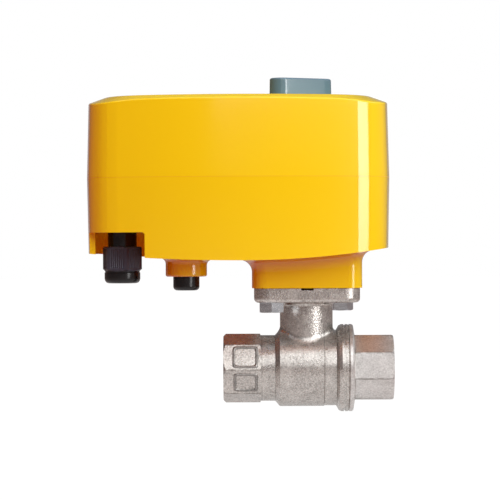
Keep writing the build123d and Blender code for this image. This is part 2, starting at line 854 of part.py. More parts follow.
# Base shell: pedestal, button boss and cable bay under it, posts and stops inside
camber_reach = (0, housing_width / 2, housing_width)
with BuildPart() as base_housing:
    extrude(housing_plan(base_rim, 0), amount=pad_top - base_rim, taper=base_draft)
    with BuildSketch(Plane.XZ):
        with BuildLine():
            for side in (-1, 1):
                ThreePointArc(
                    *[(x, camber_at(x)) for x in (camber_x + side * reach for reach in camber_reach)]
                )
            low_left, low_right = [
                (x, camber_at(x)) for x in (camber_x - housing_width, camber_x + housing_width)
            ]
            Polyline(low_right, (low_right[0], roof_height), (low_left[0], roof_height), low_left)
        make_face()
    extrude(amount=housing_depth, both=True, mode=Mode.INTERSECT)
    with BuildSketch(level(stem_x, 0, pad_top)):
        RectangleRounded(pedestal_size, pedestal_size, pedestal_corner)
    extrude(amount=floor_height - pad_top)
    half_pedestal = pedestal_size / 2 + fit_gap
    pedestal_root = base_housing.edges().filter_by(
        lambda edge: abs(edge.center().X - stem_x) < half_pedestal
        and abs(edge.center().Y) < half_pedestal
        and base_lowest - 1 < edge.center().Z < floor_height
    )
    fillet(pedestal_root, pedestal_fillet)
    with Locations((button_x, button_y, boss_bottom)):
        Cylinder(boss_diameter / 2, floor_height - boss_bottom, align=upright)
    boss_root = base_housing.edges().filter_by(
        lambda edge: hypot(edge.center().X - button_x, edge.center().Y - button_y) < boss_diameter
        and base_lowest - 1 < edge.center().Z < floor_height
    )
    fillet(boss_root, boss_fillet)
    fillet(
        base_housing.edges().filter_by(GeomType.CIRCLE).filter_by_position(
            Axis.Z, boss_bottom - fit_gap, boss_bottom + fit_gap
        ),
        boss_fillet / 3,
    )
    add(base_cavity.part, mode=Mode.SUBTRACT)
    add(cable_bay.part, mode=Mode.SUBTRACT)
    # Pilot holes of the plate posts and the middle axle
    for x, y in plate_posts + board_posts:
        with Locations((x, y, plate_bottom)):
            Cylinder(
                plate_screw_diameter / 2 + fit_gap,
                plate_screw_length,
                align=(Align.CENTER, Align.CENTER, Align.MAX),
                mode=Mode.SUBTRACT,
            )
    with Locations((middle_x, middle_y, axle_bottom)):
        Cylinder(
            axle_diameter / 2 + fit_gap,
            axle_depth + axle_boss_height,
            align=upright,
            mode=Mode.SUBTRACT,
        )
    # Shaft bore and bushing seat
    add(
        turned(
            stem_x,
            0,
            [
                (0, pad_top),
                (socket_diameter / 2 + seat_gap, pad_top),
                (socket_diameter / 2 + seat_gap, bushing_bottom),
                (bushing_radius + fit_gap, bushing_bottom),
                (bushing_radius + fit_gap, floor_height),
                (0, floor_height),
            ],
        ),
        mode=Mode.SUBTRACT,
    )
    # Threaded insert pockets
    with Locations((stem_x, 0, pad_top)):
        with PolarLocations(bolt_circle / 2, 4, start_angle=45):
            Cylinder(
                insert_diameter / 2 + fit_gap,
                insert_height + bolt_tip_room,
                align=upright,
                mode=Mode.SUBTRACT,
            )
    # Stepped bore of the release button
    add(
        turned(
            button_x,
            button_y,
            [
                (0, boss_bottom),
                (button_bore, boss_bottom),
                (button_bore, button_seal_height - button_seal_section / 2),
                (button_bore + button_seal_section, button_seal_height - button_seal_section / 2),
                (button_bore + button_seal_section, button_seal_height + button_seal_section / 2),
                (button_bore, button_seal_height + button_seal_section / 2),
                (button_bore, button_ledge),
                (boss_counterbore, button_ledge),
                (boss_counterbore, retainer_bottom),
                (retainer_diameter / 2 + fit_gap, retainer_bottom),
                (retainer_diameter / 2 + fit_gap, floor_height),
                (0, floor_height),
            ],
        ),
        mode=Mode.SUBTRACT,
    )
    # Cable gland hole through the bay ceiling
    with Locations((gland_x, gland_y, bay_ceiling)):
        Cylinder(gland_thread_diameter / 2 + thread_gap, wall, align=upright, mode=Mode.SUBTRACT)
    # Stepped cover screw holes, open below
    for x, y in screw_places:
        add(
            turned(
                x,
                y,
                [
                    (0, pad_top),
                    (screw_head_diameter / 2 + seat_gap, pad_top),
                    (screw_head_diameter / 2 + seat_gap, screw_seat),
                    (screw_diameter / 2 + fit_gap, screw_seat),
                    (screw_diameter / 2 + fit_gap, seam_height),
                    (0, seam_height),
                ],
            ),
            mode=Mode.SUBTRACT,
        )
    # Gasket groove round the rim
    extrude(gasket_ring(base_rim, fit_gap), amount=-gasket_depth, mode=Mode.SUBTRACT)
finish(base_housing, "base_housing")

# Cover shell: flat top with sloped edges, screw bosses inside and a boss for the shaft
cover_bore = top_journal_diameter / 2 + running_gap
cover_boss_radius = cover_bore + shaft_seal_section + cover_boss_wall
with BuildPart() as cover_cavity:
    extrude(housing_plan(cover_rim, wall), amount=roof_height - cover_rim, taper=cover_draft)
    add(roof_slopes(ceiling_inside), mode=Mode.INTERSECT)
    for x, y in screw_places:
        with Locations((x, y, cover_rim)):
            Cylinder(screw_post_radius, roof_height - cover_rim, align=upright, mode=Mode.SUBTRACT)
    with Locations((stem_x, 0, roof_height - cover_boss_depth)):
        Cylinder(cover_boss_radius, cover_boss_depth, align=upright, mode=Mode.SUBTRACT)

with BuildPart() as cover_housing:
    extrude(housing_plan(cover_rim, 0), amount=roof_height - cover_rim, taper=cover_draft)
    add(roof_slopes(roof_height), mode=Mode.INTERSECT)
    fillet(cover_housing.edges().filter_by(lambda edge: edge.center().Z > ceiling_inside), cover_edge)
    add(cover_cavity.part, mode=Mode.SUBTRACT)
    for x, y in screw_places:
        with Locations((x, y, cover_rim)):
            Cylinder(
                screw_diameter / 2 + fit_gap,
                screw_seat + screw_grip + seat_gap - cover_rim,
                align=upright,
                mode=Mode.SUBTRACT,
            )
    seal_bottom = roof_height - (cover_boss_depth + shaft_seal_section) / 2
    seal_top = seal_bottom + shaft_seal_section
    add(
        turned(
            stem_x,
            0,
            [
                (0, roof_height - cover_boss_depth),
                (cover_bore, roof_height - cover_boss_depth),
                (cover_bore, seal_bottom),
                (cover_bore + shaft_seal_section, seal_bottom),
                (cover_bore + shaft_seal_section, seal_top),
                (cover_bore, seal_top),
                (cover_bore, roof_height),
                (0, roof_height),
            ],
        ),
        mode=Mode.SUBTRACT,
    )
finish(cover_housing, "cover_housing")

with BuildPart() as shaft_seal:
    with Locations((stem_x, 0, (seal_bottom + seal_top) / 2)):
        Torus(cover_bore + shaft_seal_section / 2, shaft_seal_section / 2 - running_gap)
finish(shaft_seal, "shaft_seal")

with BuildPart() as cover_gasket:
    extrude(gasket_ring(base_rim - gasket_depth, 0), amount=gasket_depth + seam_gap)
finish(cover_gasket, "cover_gasket")

with BuildPart() as cover_screws:
    for x, y in screw_places:
        with Locations((x, y, screw_seat - screw_head_height)):
            Cylinder(screw_head_diameter / 2, screw_head_height, align=upright)
        with Locations((x, y, screw_seat)):
            Cylinder(screw_diameter / 2, screw_grip, align=upright)
        with Locations((x, y, screw_seat - screw_head_height)):
            Box(screw_head_diameter, ring_thickness, ring_thickness, align=upright, mode=Mode.SUBTRACT)
finish(cover_screws, "cover_screws")

with BuildPart() as threaded_inserts:
    with Locations((stem_x, 0, pad_top)):
        with PolarLocations(bolt_circle / 2, 4, start_angle=45):
            Cylinder(insert_diameter / 2, insert_height, align=upright)
            Cylinder(bolt_diameter / 2 + thread_gap, insert_height, align=upright, mode=Mode.SUBTRACT)
finish(threaded_inserts, "threaded_inserts")

# Shaft bushings in the base and in the gear plate
socket_radius = socket_diameter / 2
journal_radius = journal_diameter / 2
upper_bushing_radius = journal_radius + bushing_wall
with BuildPart() as lower_bushing:
    add(tube(stem_x, 0, bushing_bottom, floor_height, bushing_radius, socket_radius + running_gap))
finish(lower_bushing, "lower_bushing")

with BuildPart() as upper_bushing:
    add(
        turned(
            stem_x,
            0,
            [
                (journal_radius + running_gap, plate_bottom - ring_thickness),
                (upper_bushing_radius + ring_thickness, plate_bottom - ring_thickness),
                (upper_bushing_radius + ring_thickness, plate_bottom),
                (upper_bushing_radius, plate_bottom),
                (upper_bushing_radius, plate_top),
                (journal_radius + running_gap, plate_top),
            ],
        )
    )
finish(upper_bushing, "upper_bushing")

# Output shaft: square socket below, seat for the sector gear, cam flats and knob flats
cam_bottom = plate_top + (switch_height - cam_height) / 2
hub_top = sector_top + hub_wall
ring_bottom = hub_top + running_gap
ring_top = ring_bottom + ring_thickness
ring_groove = journal_radius - ring_thickness
shaft_top = knob_top - knob_crown - seat_gap


def flats(radius, gap):
    # Round bore or shaft section with two parallel flats, along the knob
    with BuildSketch() as section:
        Circle(radius + gap)
        Rectangle(4 * radius, 2 * (radius - shaft_flat + gap), mode=Mode.INTERSECT)
    return section.sketch


with BuildPart() as output_shaft:
    add(
        turned(
            stem_x,
            0,
            [
                (0, pad_top + seat_gap),
                (socket_radius, pad_top + seat_gap),
                (socket_radius, sector_bottom),
                (gear_seat_diameter / 2, sector_bottom),
                (gear_seat_diameter / 2, hub_top),
                (ring_groove, hub_top),
                (ring_groove, ring_top + running_gap),
                (journal_radius, ring_top + running_gap),
                (journal_radius, shaft_step_height),
                (top_journal_diameter / 2, shaft_step_height + journal_radius - top_journal_diameter / 2),
                (top_journal_diameter / 2, shaft_top),
                (0, shaft_top),
            ],
        )
    )
    with BuildSketch(level(stem_x, 0, pad_top + seat_gap, rest_turn)):
        RectangleRounded(stem_square + 2 * running_gap, stem_square + 2 * running_gap, seat_gap)
    extrude(amount=socket_depth, mode=Mode.SUBTRACT)
    for bottom, top, radius in (
        (sector_bottom, hub_top, gear_seat_diameter / 2),
        (cam_bottom - running_gap, shaft_step_height, journal_radius),
        (knob_bottom, shaft_top, top_journal_diameter / 2),
    ):
        with BuildSketch(level(stem_x, 0, bottom, rest_turn)):
            Circle(socket_radius)
            add(flats(radius, 0), mode=Mode.SUBTRACT)
        extrude(amount=top - bottom, mode=Mode.SUBTRACT)
finish(output_shaft, "output_shaft")

with BuildPart() as gear_retaining_ring:
    add(tube(stem_x, 0, ring_bottom, ring_top, ring_groove + ring_wall, ring_groove + running_gap))
    with Locations(level(stem_x, 0, ring_bottom, rest_turn)):
        Box(
            ring_groove + ring_wall,
            2 * ring_groove - ring_thickness,
            ring_thickness,
            align=(Align.MIN, Align.CENTER, Align.MIN),
            mode=Mode.SUBTRACT,
        )
finish(gear_retaining_ring, "gear_retaining_ring")


def involute(angle):
    # Involute function of an angle in radians
    return tan(angle) - angle


def teeth(count, module, turn, first, last):
    # Corner points of involute teeth numbered from first to last, round a wheel turned by turn
    pitch_radius = module * count / 2
    base_radius = pitch_radius * cos(radians(pressure_angle))
    half_tooth = pi / (2 * count) - tooth_backlash / (4 * pitch_radius) + involute(radians(pressure_angle))
    root_radius = pitch_radius - module * tooth_dedendum
    radii = [root_radius, pitch_radius, pitch_radius + module * tooth_addendum]
    if base_radius > root_radius:
        radii.insert(1, base_radius)
    flank = [
        (radius, half_tooth - involute(acos(base_radius / max(radius, base_radius)))) for radius in radii
    ]
    points = []
    for number in range(first, last + 1):
        middle = radians(turn + number * 360 / count)
        for radius, half_turn in flank:
            points.append((radius * cos(middle - half_turn), radius * sin(middle - half_turn)))
        for radius, half_turn in reversed(flank):
            points.append((radius * cos(middle + half_turn), radius * sin(middle + half_turn)))
    return points


def wheel(x, y, bottom, top, count, module, turn):
    # Toothed wheel blank without its bore
    with BuildPart() as piece:
        with BuildSketch(level(x, y, bottom)):
            Polygon(*teeth(count, module, turn, 0, count - 1), align=None)
        extrude(amount=top - bottom)
    return piece.part


# Output gear: the toothed sector on the shaft
with BuildPart() as output_gear:
    with BuildSketch(level(stem_x, 0, sector_bottom)):
        Polygon(
            (0, 0),
            *teeth(sector_count, sector_module, sector_mesh, -teeth_before, teeth_after),
            align=None,
        )
    extrude(amount=sector_face)
    with Locations((stem_x, 0, sector_bottom)):
        Cylinder(gear_seat_diameter / 2 + hub_wall, sector_face + hub_wall - running_gap, align=upright)
    with BuildSketch(level(stem_x, 0, sector_bottom, rest_turn)):
        add(flats(gear_seat_diameter / 2, fit_gap))
    extrude(amount=sector_face + hub_wall, mode=Mode.SUBTRACT)
    hole_reach = (sector_pitch + gear_seat_diameter / 2 + hub_wall) / 2
    hole_pitch = (sector_end - sector_start) / 4
    with Locations((stem_x, 0, sector_bottom)):
        with PolarLocations(
            hole_reach, 3, start_angle=sector_start + hole_pitch, angular_range=3 * hole_pitch
        ):
            Cylinder(lightening_diameter / 2, sector_face, align=upright, mode=Mode.SUBTRACT)
finish(output_gear, "output_gear")

# Middle gear: pinion on the sector, wheel on the clutch pinion, hub up to the gear plate
pinion_bottom = floor_height + axle_boss_height + running_gap
axle_radius = axle_diameter / 2
with BuildPart() as intermediate_gear:
    pinion_turn = sector_mesh + 180 + 180 / pinion_count
    add(wheel(middle_x, middle_y, pinion_bottom, middle_bottom, pinion_count, sector_module, pinion_turn))
    add(wheel(middle_x, middle_y, middle_bottom, middle_top, middle_count, middle_module, middle_mesh))
    with Locations((middle_x, middle_y, middle_top)):
        Cylinder(axle_radius + bushing_wall, plate_bottom - running_gap - middle_top, align=upright)
    with Locations((middle_x, middle_y, middle_bottom)):
        with PolarLocations(middle_pitch * 2 / 3, 6):
            Cylinder(lightening_diameter / 3, middle_face, align=upright, mode=Mode.SUBTRACT)
    with Locations((middle_x, middle_y, pinion_bottom)):
        Cylinder(
            axle_radius + running_gap,
            plate_bottom - pinion_bottom,
            align=upright,
            mode=Mode.SUBTRACT,
        )
finish(intermediate_gear, "intermediate_gear")

with BuildPart() as intermediate_axle:
    with Locations((middle_x, middle_y, axle_bottom)):
        Cylinder(axle_radius, plate_top - axle_bottom, align=upright)
finish(intermediate_axle, "intermediate_axle")

# Clutch gear on the release axle: pinion on the middle gear, wheel on the motor pinion
clutch_pinion_bottom = middle_bottom - button_travel - gear_step
clutch_axle_radius = clutch_axle_diameter / 2
with BuildPart() as clutch_gear:
    pinion_turn = middle_mesh + 180 + 180 / pinion_count
    add(
        wheel(
            button_x,
            button_y,
            clutch_pinion_bottom,
            clutch_bottom,
            pinion_count,
            middle_module,
            pinion_turn,
        )
    )
    add(wheel(button_x, button_y, clutch_bottom, clutch_top, clutch_count, clutch_module, motor_turn))
    with Locations((button_x, button_y, clutch_bottom)):
        with PolarLocations(clutch_pitch * 2 / 3, 6):
            Cylinder(lightening_diameter / 3, clutch_face, align=upright, mode=Mode.SUBTRACT)
    with Locations((button_x, button_y, clutch_pinion_bottom)):
        Cylinder(
            clutch_axle_radius + running_gap,
            clutch_top - clutch_pinion_bottom,
            align=upright,
            mode=Mode.SUBTRACT,
        )
finish(clutch_gear, "clutch_gear")

with BuildPart() as clutch_axle:
    with Locations((button_x, button_y, button_ledge)):
        Cylinder(clutch_axle_radius, plate_top + ring_thickness - button_ledge, align=upright)
finish(clutch_axle, "clutch_axle")

with BuildPart() as axle_clips:
    clip_radius = clutch_axle_radius + clip_wall
    for bottom in (clutch_pinion_bottom - running_gap - clip_thickness, clutch_top + running_gap):
        add(tube(button_x, button_y, bottom, bottom + clip_thickness, clip_radius, clutch_axle_radius))
finish(axle_clips, "axle_clips")

with BuildPart() as motor_pinion:
    pinion_turn = motor_turn + 180 + 180 / pinion_count
    pinion_low = clutch_bottom - seat_gap
    pinion_high = clutch_top + gear_step
    add(wheel(shaft_x, shaft_y, pinion_low, pinion_high, pinion_count, clutch_module, pinion_turn))
    with Locations((shaft_x, shaft_y, pinion_high)):
        Cylinder(motor_shaft_diameter / 2, plate_top + motor_shaft_depth - pinion_high, align=upright)
finish(motor_pinion, "motor_pinion")

# Gear plate over the gear train
motor_ears = [
    (
        motor_x + side * motor_ear_reach * cos(radians(motor_ear_turn)),
        motor_y + side * motor_ear_reach * sin(radians(motor_ear_turn)),
    )
    for side in (-1, 1)
]
switch_screw_y = switch_face + switch_screw_inset
switch_screw_places = [(stem_x + side * switch_screw_pitch / 2, switch_screw_y) for side in (-1, 1)]
plate_middle = (plate_left + plate_right) / 2
with BuildPart() as gear_plate:
    with BuildSketch(level(0, 0, plate_bottom)):
        with Locations((plate_middle, 0)):
            RectangleRounded(plate_right - plate_left, 2 * plate_half_depth, plate_corner)
        with Locations((stem_x, switch_ledge_back / 2)):
            RectangleRounded(switch_length, switch_ledge_back, hub_wall)
        for x, y in board_posts:
            with Locations((x, y)):
                Circle(plate_corner)
            with Locations((x, y * 2 / 3)):
                Rectangle(2 * plate_corner, abs(y) * 2 / 3)
        with Locations((motor_x, motor_y)):
            Circle(gearbox_diameter / 2 + gear_step)
        with Locations(Location((motor_x, motor_y, 0), motor_ear_turn)):
            SlotCenterToCenter(2 * motor_ear_reach, motor_ear_width)
        with Locations((stem_x, 0)):
            Circle(upper_bushing_radius + fit_gap, mode=Mode.SUBTRACT)
        with Locations((middle_x, middle_y)):
            Circle(axle_radius + fit_gap, mode=Mode.SUBTRACT)
        with Locations((button_x, button_y)):
            Circle(clutch_axle_radius + running_gap, mode=Mode.SUBTRACT)
        with Locations((shaft_x, shaft_y)):
            Circle(motor_boss_diameter / 2 + fit_gap, mode=Mode.SUBTRACT)
        with Locations(*plate_posts, *board_posts, board_support, *motor_ears):
            Circle(plate_screw_diameter / 2 + fit_gap, mode=Mode.SUBTRACT)
        with Locations(*switch_screw_places):
            Circle(switch_screw_diameter / 2 + fit_gap, mode=Mode.SUBTRACT)
    extrude(amount=plate_thickness)
finish(gear_plate, "gear_plate")


def pan_screw(x, y, seat, length, diameter, head, head_height):
    # Screw with a flat round head and a cross slot, its shank pointing down
    with BuildPart() as piece:
        with Locations((x, y, seat)):
            Cylinder(head / 2, head_height, align=upright)
        for turn in (0, 90):
            with Locations(level(x, y, seat + head_height / 2, turn)):
                Box(head * 2 / 3, head / 6, head_height, align=upright, mode=Mode.SUBTRACT)
        with Locations((x, y, seat)):
            Cylinder(diameter / 2, length, align=(Align.CENTER, Align.CENTER, Align.MAX))
    return piece.part


with BuildPart() as plate_screws:
    for x, y in plate_posts:
        add(
            pan_screw(
                x,
                y,
                plate_top,
                plate_screw_length,
                plate_screw_diameter,
                plate_screw_head,
                plate_screw_head_height,
            )
        )
finish(plate_screws, "plate_screws")

# Spacers that carry the board, studded into the posts through the plate
with BuildPart() as board_spacers:
    for x, y in (*board_posts, board_support):
        with Locations((x, y, plate_top)):
            Cylinder(spacer_diameter / 2, board_bottom - plate_top, align=upright)
    for x, y in board_posts:
        with Locations((x, y, plate_top)):
            Cylinder(
                plate_screw_diameter / 2,
                plate_screw_length,
                align=(Align.CENTER, Align.CENTER, Align.MAX),
            )
    with Locations((*board_support, plate_bottom)):
        Cylinder(plate_screw_diameter / 2, plate_thickness, align=upright)
    with Locations(*[(x, y, board_bottom) for x, y in (*board_posts, board_support)]):
        Cylinder(
            plate_screw_diameter / 2 + fit_gap,
            plate_screw_length,
            align=(Align.CENTER, Align.CENTER, Align.MAX),
            mode=Mode.SUBTRACT,
        )
finish(board_spacers, "board_spacers")

with BuildPart() as board_screws:
    for x, y in (*board_posts, board_support):
        add(
            pan_screw(
                x,
                y,
                board_top,
                plate_screw_length,
                plate_screw_diameter,
                plate_screw_head,
                plate_screw_head_height,
            )
        )
finish(board_screws, "board_screws")

# Gear motor: flat reduction gearbox with two ears, and the motor can on it
with BuildPart() as motor_gearbox:
    with Locations((motor_x, motor_y, plate_top)):
        Cylinder(gearbox_diameter / 2, gearbox_height, align=upright)
    with BuildSketch(level(motor_x, motor_y, plate_top, motor_ear_turn)):
        SlotCenterToCenter(2 * motor_ear_reach, motor_ear_width)
    extrude(amount=motor_ear_thickness)
    with Locations((shaft_x, shaft_y, plate_top - motor_boss_height)):
        Cylinder(motor_boss_diameter / 2, motor_boss_height, align=upright)
    with Locations((shaft_x, shaft_y, plate_top - motor_boss_height)):
        Cylinder(
            motor_shaft_diameter / 2 + running_gap,
            motor_boss_height + motor_shaft_depth + running_gap,
            align=upright,
            mode=Mode.SUBTRACT,
        )
    with Locations(*[(x, y, plate_top) for x, y in motor_ears]):
        Cylinder(
            plate_screw_diameter / 2 + fit_gap,
            motor_ear_thickness,
            align=upright,
            mode=Mode.SUBTRACT,
        )
finish(motor_gearbox, "motor_gearbox")

with BuildPart() as motor_can:
    with Locations((motor_x, motor_y, gearbox_top)):
        Cylinder(motor_can_diameter / 2, motor_can_height, align=upright)
    fillet(motor_can.edges().group_by(Axis.Z)[-1], motor_can_edge)
finish(motor_can, "motor_can")

with BuildPart() as motor_screws:
    for x, y in motor_ears:
        add(
            pan_screw(
                x,
                y,
                plate_top + motor_ear_thickness,
                motor_ear_thickness + plate_thickness,
                plate_screw_diameter,
                plate_screw_head,
                plate_screw_head_height,
            )
        )
finish(motor_screws, "motor_screws")

# Cams on the shaft: each lobe meets its switch at one end of the travel
cam_settings = (
    ("open_cam", cam_bottom, 90 - travel_low),
    ("closed_cam", cam_bottom + switch_height, 90 - travel_high),
)
for name, bottom, lobe_turn in cam_settings:
    with BuildPart() as cam:
        with BuildSketch(level(stem_x, 0, bottom)):
            Circle(cam_radius)
            half_lobe = cam_lobe_turn / 2
            flank = half_lobe + cam_flank_turn
            outline = [
                (radius * cos(radians(lobe_turn + turn)), radius * sin(radians(lobe_turn + turn)))
                for radius, turn in (
                    (cam_radius, -flank),
                    (cam_lobe_radius, -half_lobe),
                    (cam_lobe_radius, -half_lobe / 3),
                    (cam_lobe_radius, half_lobe / 3),
                    (cam_lobe_radius, half_lobe),
                    (cam_radius, flank),
                )
            ]
            Polygon((0, 0), *outline, align=None)
        extrude(amount=cam_height)
        with BuildSketch(level(stem_x, 0, bottom, rest_turn)):
            add(flats(journal_radius, fit_gap))
        extrude(amount=cam_height, mode=Mode.SUBTRACT)
    finish(cam, name)

# Limit switches stacked behind the cams, with roller levers
for name, bottom in (("open_switch", plate_top), ("closed_switch", plate_top + switch_height)):
    with BuildPart() as switch:
        middle = bottom + switch_height / 2
        roller_y = cam_lobe_radius + seat_gap + lever_roller / 2
        lever_y = roller_y + lever_roller / 2
        with Locations((stem_x, switch_face, bottom)):
            Box(switch_length, switch_depth, switch_height, align=(Align.CENTER, Align.MIN, Align.MIN))
        with Locations((stem_x - lever_reach, lever_y, middle)):
            Box(
                lever_reach + lever_tail,
                lever_thickness,
                lever_width,
                align=(Align.MIN, Align.MIN, Align.CENTER),
            )
        for x in (stem_x - lever_reach, stem_x - lever_reach / 2):
            with Locations((x, lever_y, middle)):
                Box(
                    lever_tail,
                    switch_face - lever_y,
                    lever_width / 2,
                    align=(Align.MIN, Align.MIN, Align.CENTER),
                )
        with Locations((stem_x, roller_y + fit_gap, middle)):
            Cylinder(lever_roller / 2, lever_width)
        with Locations(*[(x, y, bottom) for x, y in switch_screw_places]):
            Cylinder(
                switch_screw_diameter / 2 + fit_gap,
                switch_height,
                align=upright,
                mode=Mode.SUBTRACT,
            )
    finish(switch, name)

with BuildPart() as switch_screws:
    for x, y in switch_screw_places:
        add(
            pan_screw(
                x,
                y,
                plate_top + 2 * switch_height,
                plate_thickness + 2 * switch_height,
                switch_screw_diameter,
                switch_screw_head,
                switch_screw_head_height,
            )
        )
finish(switch_screws, "switch_screws")

# Circuit board with its terminal block and capacitor
with BuildPart() as circuit_board:
    with BuildSketch(level((board_left + board_right) / 2, (board_front + board_back) / 2, board_bottom)):
        RectangleRounded(board_right - board_left, board_back - board_front, hub_wall)
    extrude(amount=board_thickness)
    with Locations(*[(x, y, board_bottom) for x, y in (*board_posts, board_support)]):
        Cylinder(
            plate_screw_diameter / 2 + fit_gap,
            board_thickness,
            align=upright,
            mode=Mode.SUBTRACT,
        )
finish(circuit_board, "circuit_board")

with BuildPart() as terminal_block:
    with Locations((*terminal_place, board_top)):
        Box(*terminal_size, align=upright)
    for number in range(terminal_count):
        y = terminal_place[1] + (number - (terminal_count - 1) / 2) * terminal_pitch
        with Locations((terminal_place[0] - terminal_size[0] / 2, y, board_top + terminal_hole)):
            Box(terminal_size[0] / 2, terminal_hole, terminal_hole, mode=Mode.SUBTRACT)
        with Locations((terminal_place[0], y, board_top + terminal_size[2])):
            Cylinder(terminal_hole / 2, terminal_hole, mode=Mode.SUBTRACT)
finish(terminal_block, "terminal_block")

with BuildPart() as capacitor:
    with Locations((*capacitor_place, board_top)):
        Box(*capacitor_size, align=upright)
    fillet(capacitor.edges().group_by(Axis.Z)[-1], capacitor_sleeve)
finish(capacitor, "capacitor")

# Release button under the clutch gear, with its spring, retainer and seal
with BuildPart() as release_button:
    with Locations((button_x, button_y, button_tip)):
        Cylinder(button_diameter / 2, button_ledge - button_tip, align=upright)
    fillet(release_button.edges().group_by(Axis.Z)[0], button_edge)
    with Locations((button_x, button_y, button_ledge)):
        Cylinder(button_flange_diameter / 2, button_flange_height, align=upright)
        Cylinder(
            clutch_axle_radius + fit_gap,
            button_flange_height,
            align=upright,
            mode=Mode.SUBTRACT,
        )
finish(release_button, "release_button")

spring_bottom = button_ledge + button_flange_height
spring_height = retainer_bottom - spring_bottom
with BuildPart() as button_spring:
    with BuildLine() as coil:
        Helix(
            pitch=(spring_height - spring_wire) / spring_turns,
            height=spring_height - spring_wire,
            radius=spring_diameter / 2,
            center=(button_x, button_y, spring_bottom + spring_wire / 2),
        )
    with BuildSketch(Plane(origin=coil.line @ 0, z_dir=coil.line % 0)):
        RegularPolygon(spring_wire / 2, 6)
    sweep(path=coil.line, is_frenet=True)
finish(button_spring, "button_spring")

with BuildPart() as spring_retainer:
    retainer_radius = retainer_diameter / 2
    add(
        tube(
            button_x,
            button_y,
            retainer_bottom,
            floor_height,
            retainer_radius,
            clutch_axle_radius + running_gap,
        )
    )
finish(spring_retainer, "spring_retainer")

with BuildPart() as button_seal:
    with Locations((button_x, button_y, button_seal_height)):
        Torus(button_bore + button_seal_section / 2, button_seal_section / 2 - running_gap)
finish(button_seal, "button_seal")

# Knob on the top of the shaft: a bar that shows where the ball's bore points
with BuildPart() as manual_knob:
    bar_length = knob_long_reach + knob_short_reach
    with BuildSketch(level(stem_x, 0, knob_bottom, rest_turn)):
        with Locations(((knob_short_reach - knob_long_reach) / 2, 0)):
            SlotOverall(bar_length, knob_width)
    extrude(amount=knob_height, taper=knob_draft)
    fillet(manual_knob.edges().group_by(Axis.Z)[-1], knob_edge)
    with BuildSketch(level(stem_x, 0, knob_bottom, rest_turn)):
        add(flats(top_journal_diameter / 2, fit_gap))
    extrude(amount=shaft_top - knob_bottom, mode=Mode.SUBTRACT)
finish(manual_knob, "manual_knob")

# Cable gland: body through the bay ceiling, cap nut, rubber seal and lock nut inside
neck_radius = gland_neck_diameter / 2
gland_radius = gland_thread_diameter / 2
gland_bore_radius = gland_bore_diameter / 2
with BuildPart() as gland_body:
    add(
        turned(
            gland_x,
            gland_y,
            [
                (gland_bore_radius, gland_neck_bottom),
                (neck_radius, gland_neck_bottom),
                (neck_radius, bay_ceiling),
                (gland_radius, bay_ceiling),
                (gland_radius, gland_top),
                (gland_bore_radius, gland_top),
            ],
        )
    )
finish(gland_body, "gland_body")

with BuildPart() as gland_nut:
    add(hexagon(gland_x, gland_y, gland_nut_hex_bottom, gland_nut_top, gland_nut_flats, gland_nut_turn, True))
    collar = gland_collar_diameter / 2
    mouth = gland_mouth_diameter / 2
    add(
        turned(
            gland_x,
            gland_y,
            [
                (0, gland_nut_bottom),
                (mouth, gland_nut_bottom),
                ((mouth + collar) / 2, (gland_nut_bottom + gland_collar_bottom) / 2 - gear_step),
                (collar, gland_collar_bottom),
                (collar, gland_collar_top),
                (gland_nut_flats / 2, gland_nut_hex_bottom),
                (0, gland_nut_hex_bottom),
            ],
        )
    )
    add(
        turned(
            gland_x,
            gland_y,
            [
                (0, gland_nut_bottom),
                (mouth, gland_nut_bottom),
                (mouth, gland_seal_bottom),
                (neck_radius + thread_gap, gland_seal_bottom),
                (neck_radius + thread_gap, gland_nut_top),
                (0, gland_nut_top),
            ],
        ),
        mode=Mode.SUBTRACT,
    )
finish(gland_nut, "gland_nut")

with BuildPart() as gland_seal:
    add(tube(gland_x, gland_y, gland_seal_bottom, gland_neck_bottom, neck_radius, cable_diameter / 2))
finish(gland_seal, "gland_seal")

with BuildPart() as gland_lock_nut:
    nut_top = bay_floor + lock_nut_height
    add(hexagon(gland_x, gland_y, bay_floor, nut_top, lock_nut_flats, 0, False))
    with Locations((gland_x, gland_y, bay_floor)):
        Cylinder(gland_radius + thread_gap, lock_nut_height, align=upright, mode=Mode.SUBTRACT)
finish(gland_lock_nut, "gland_lock_nut")
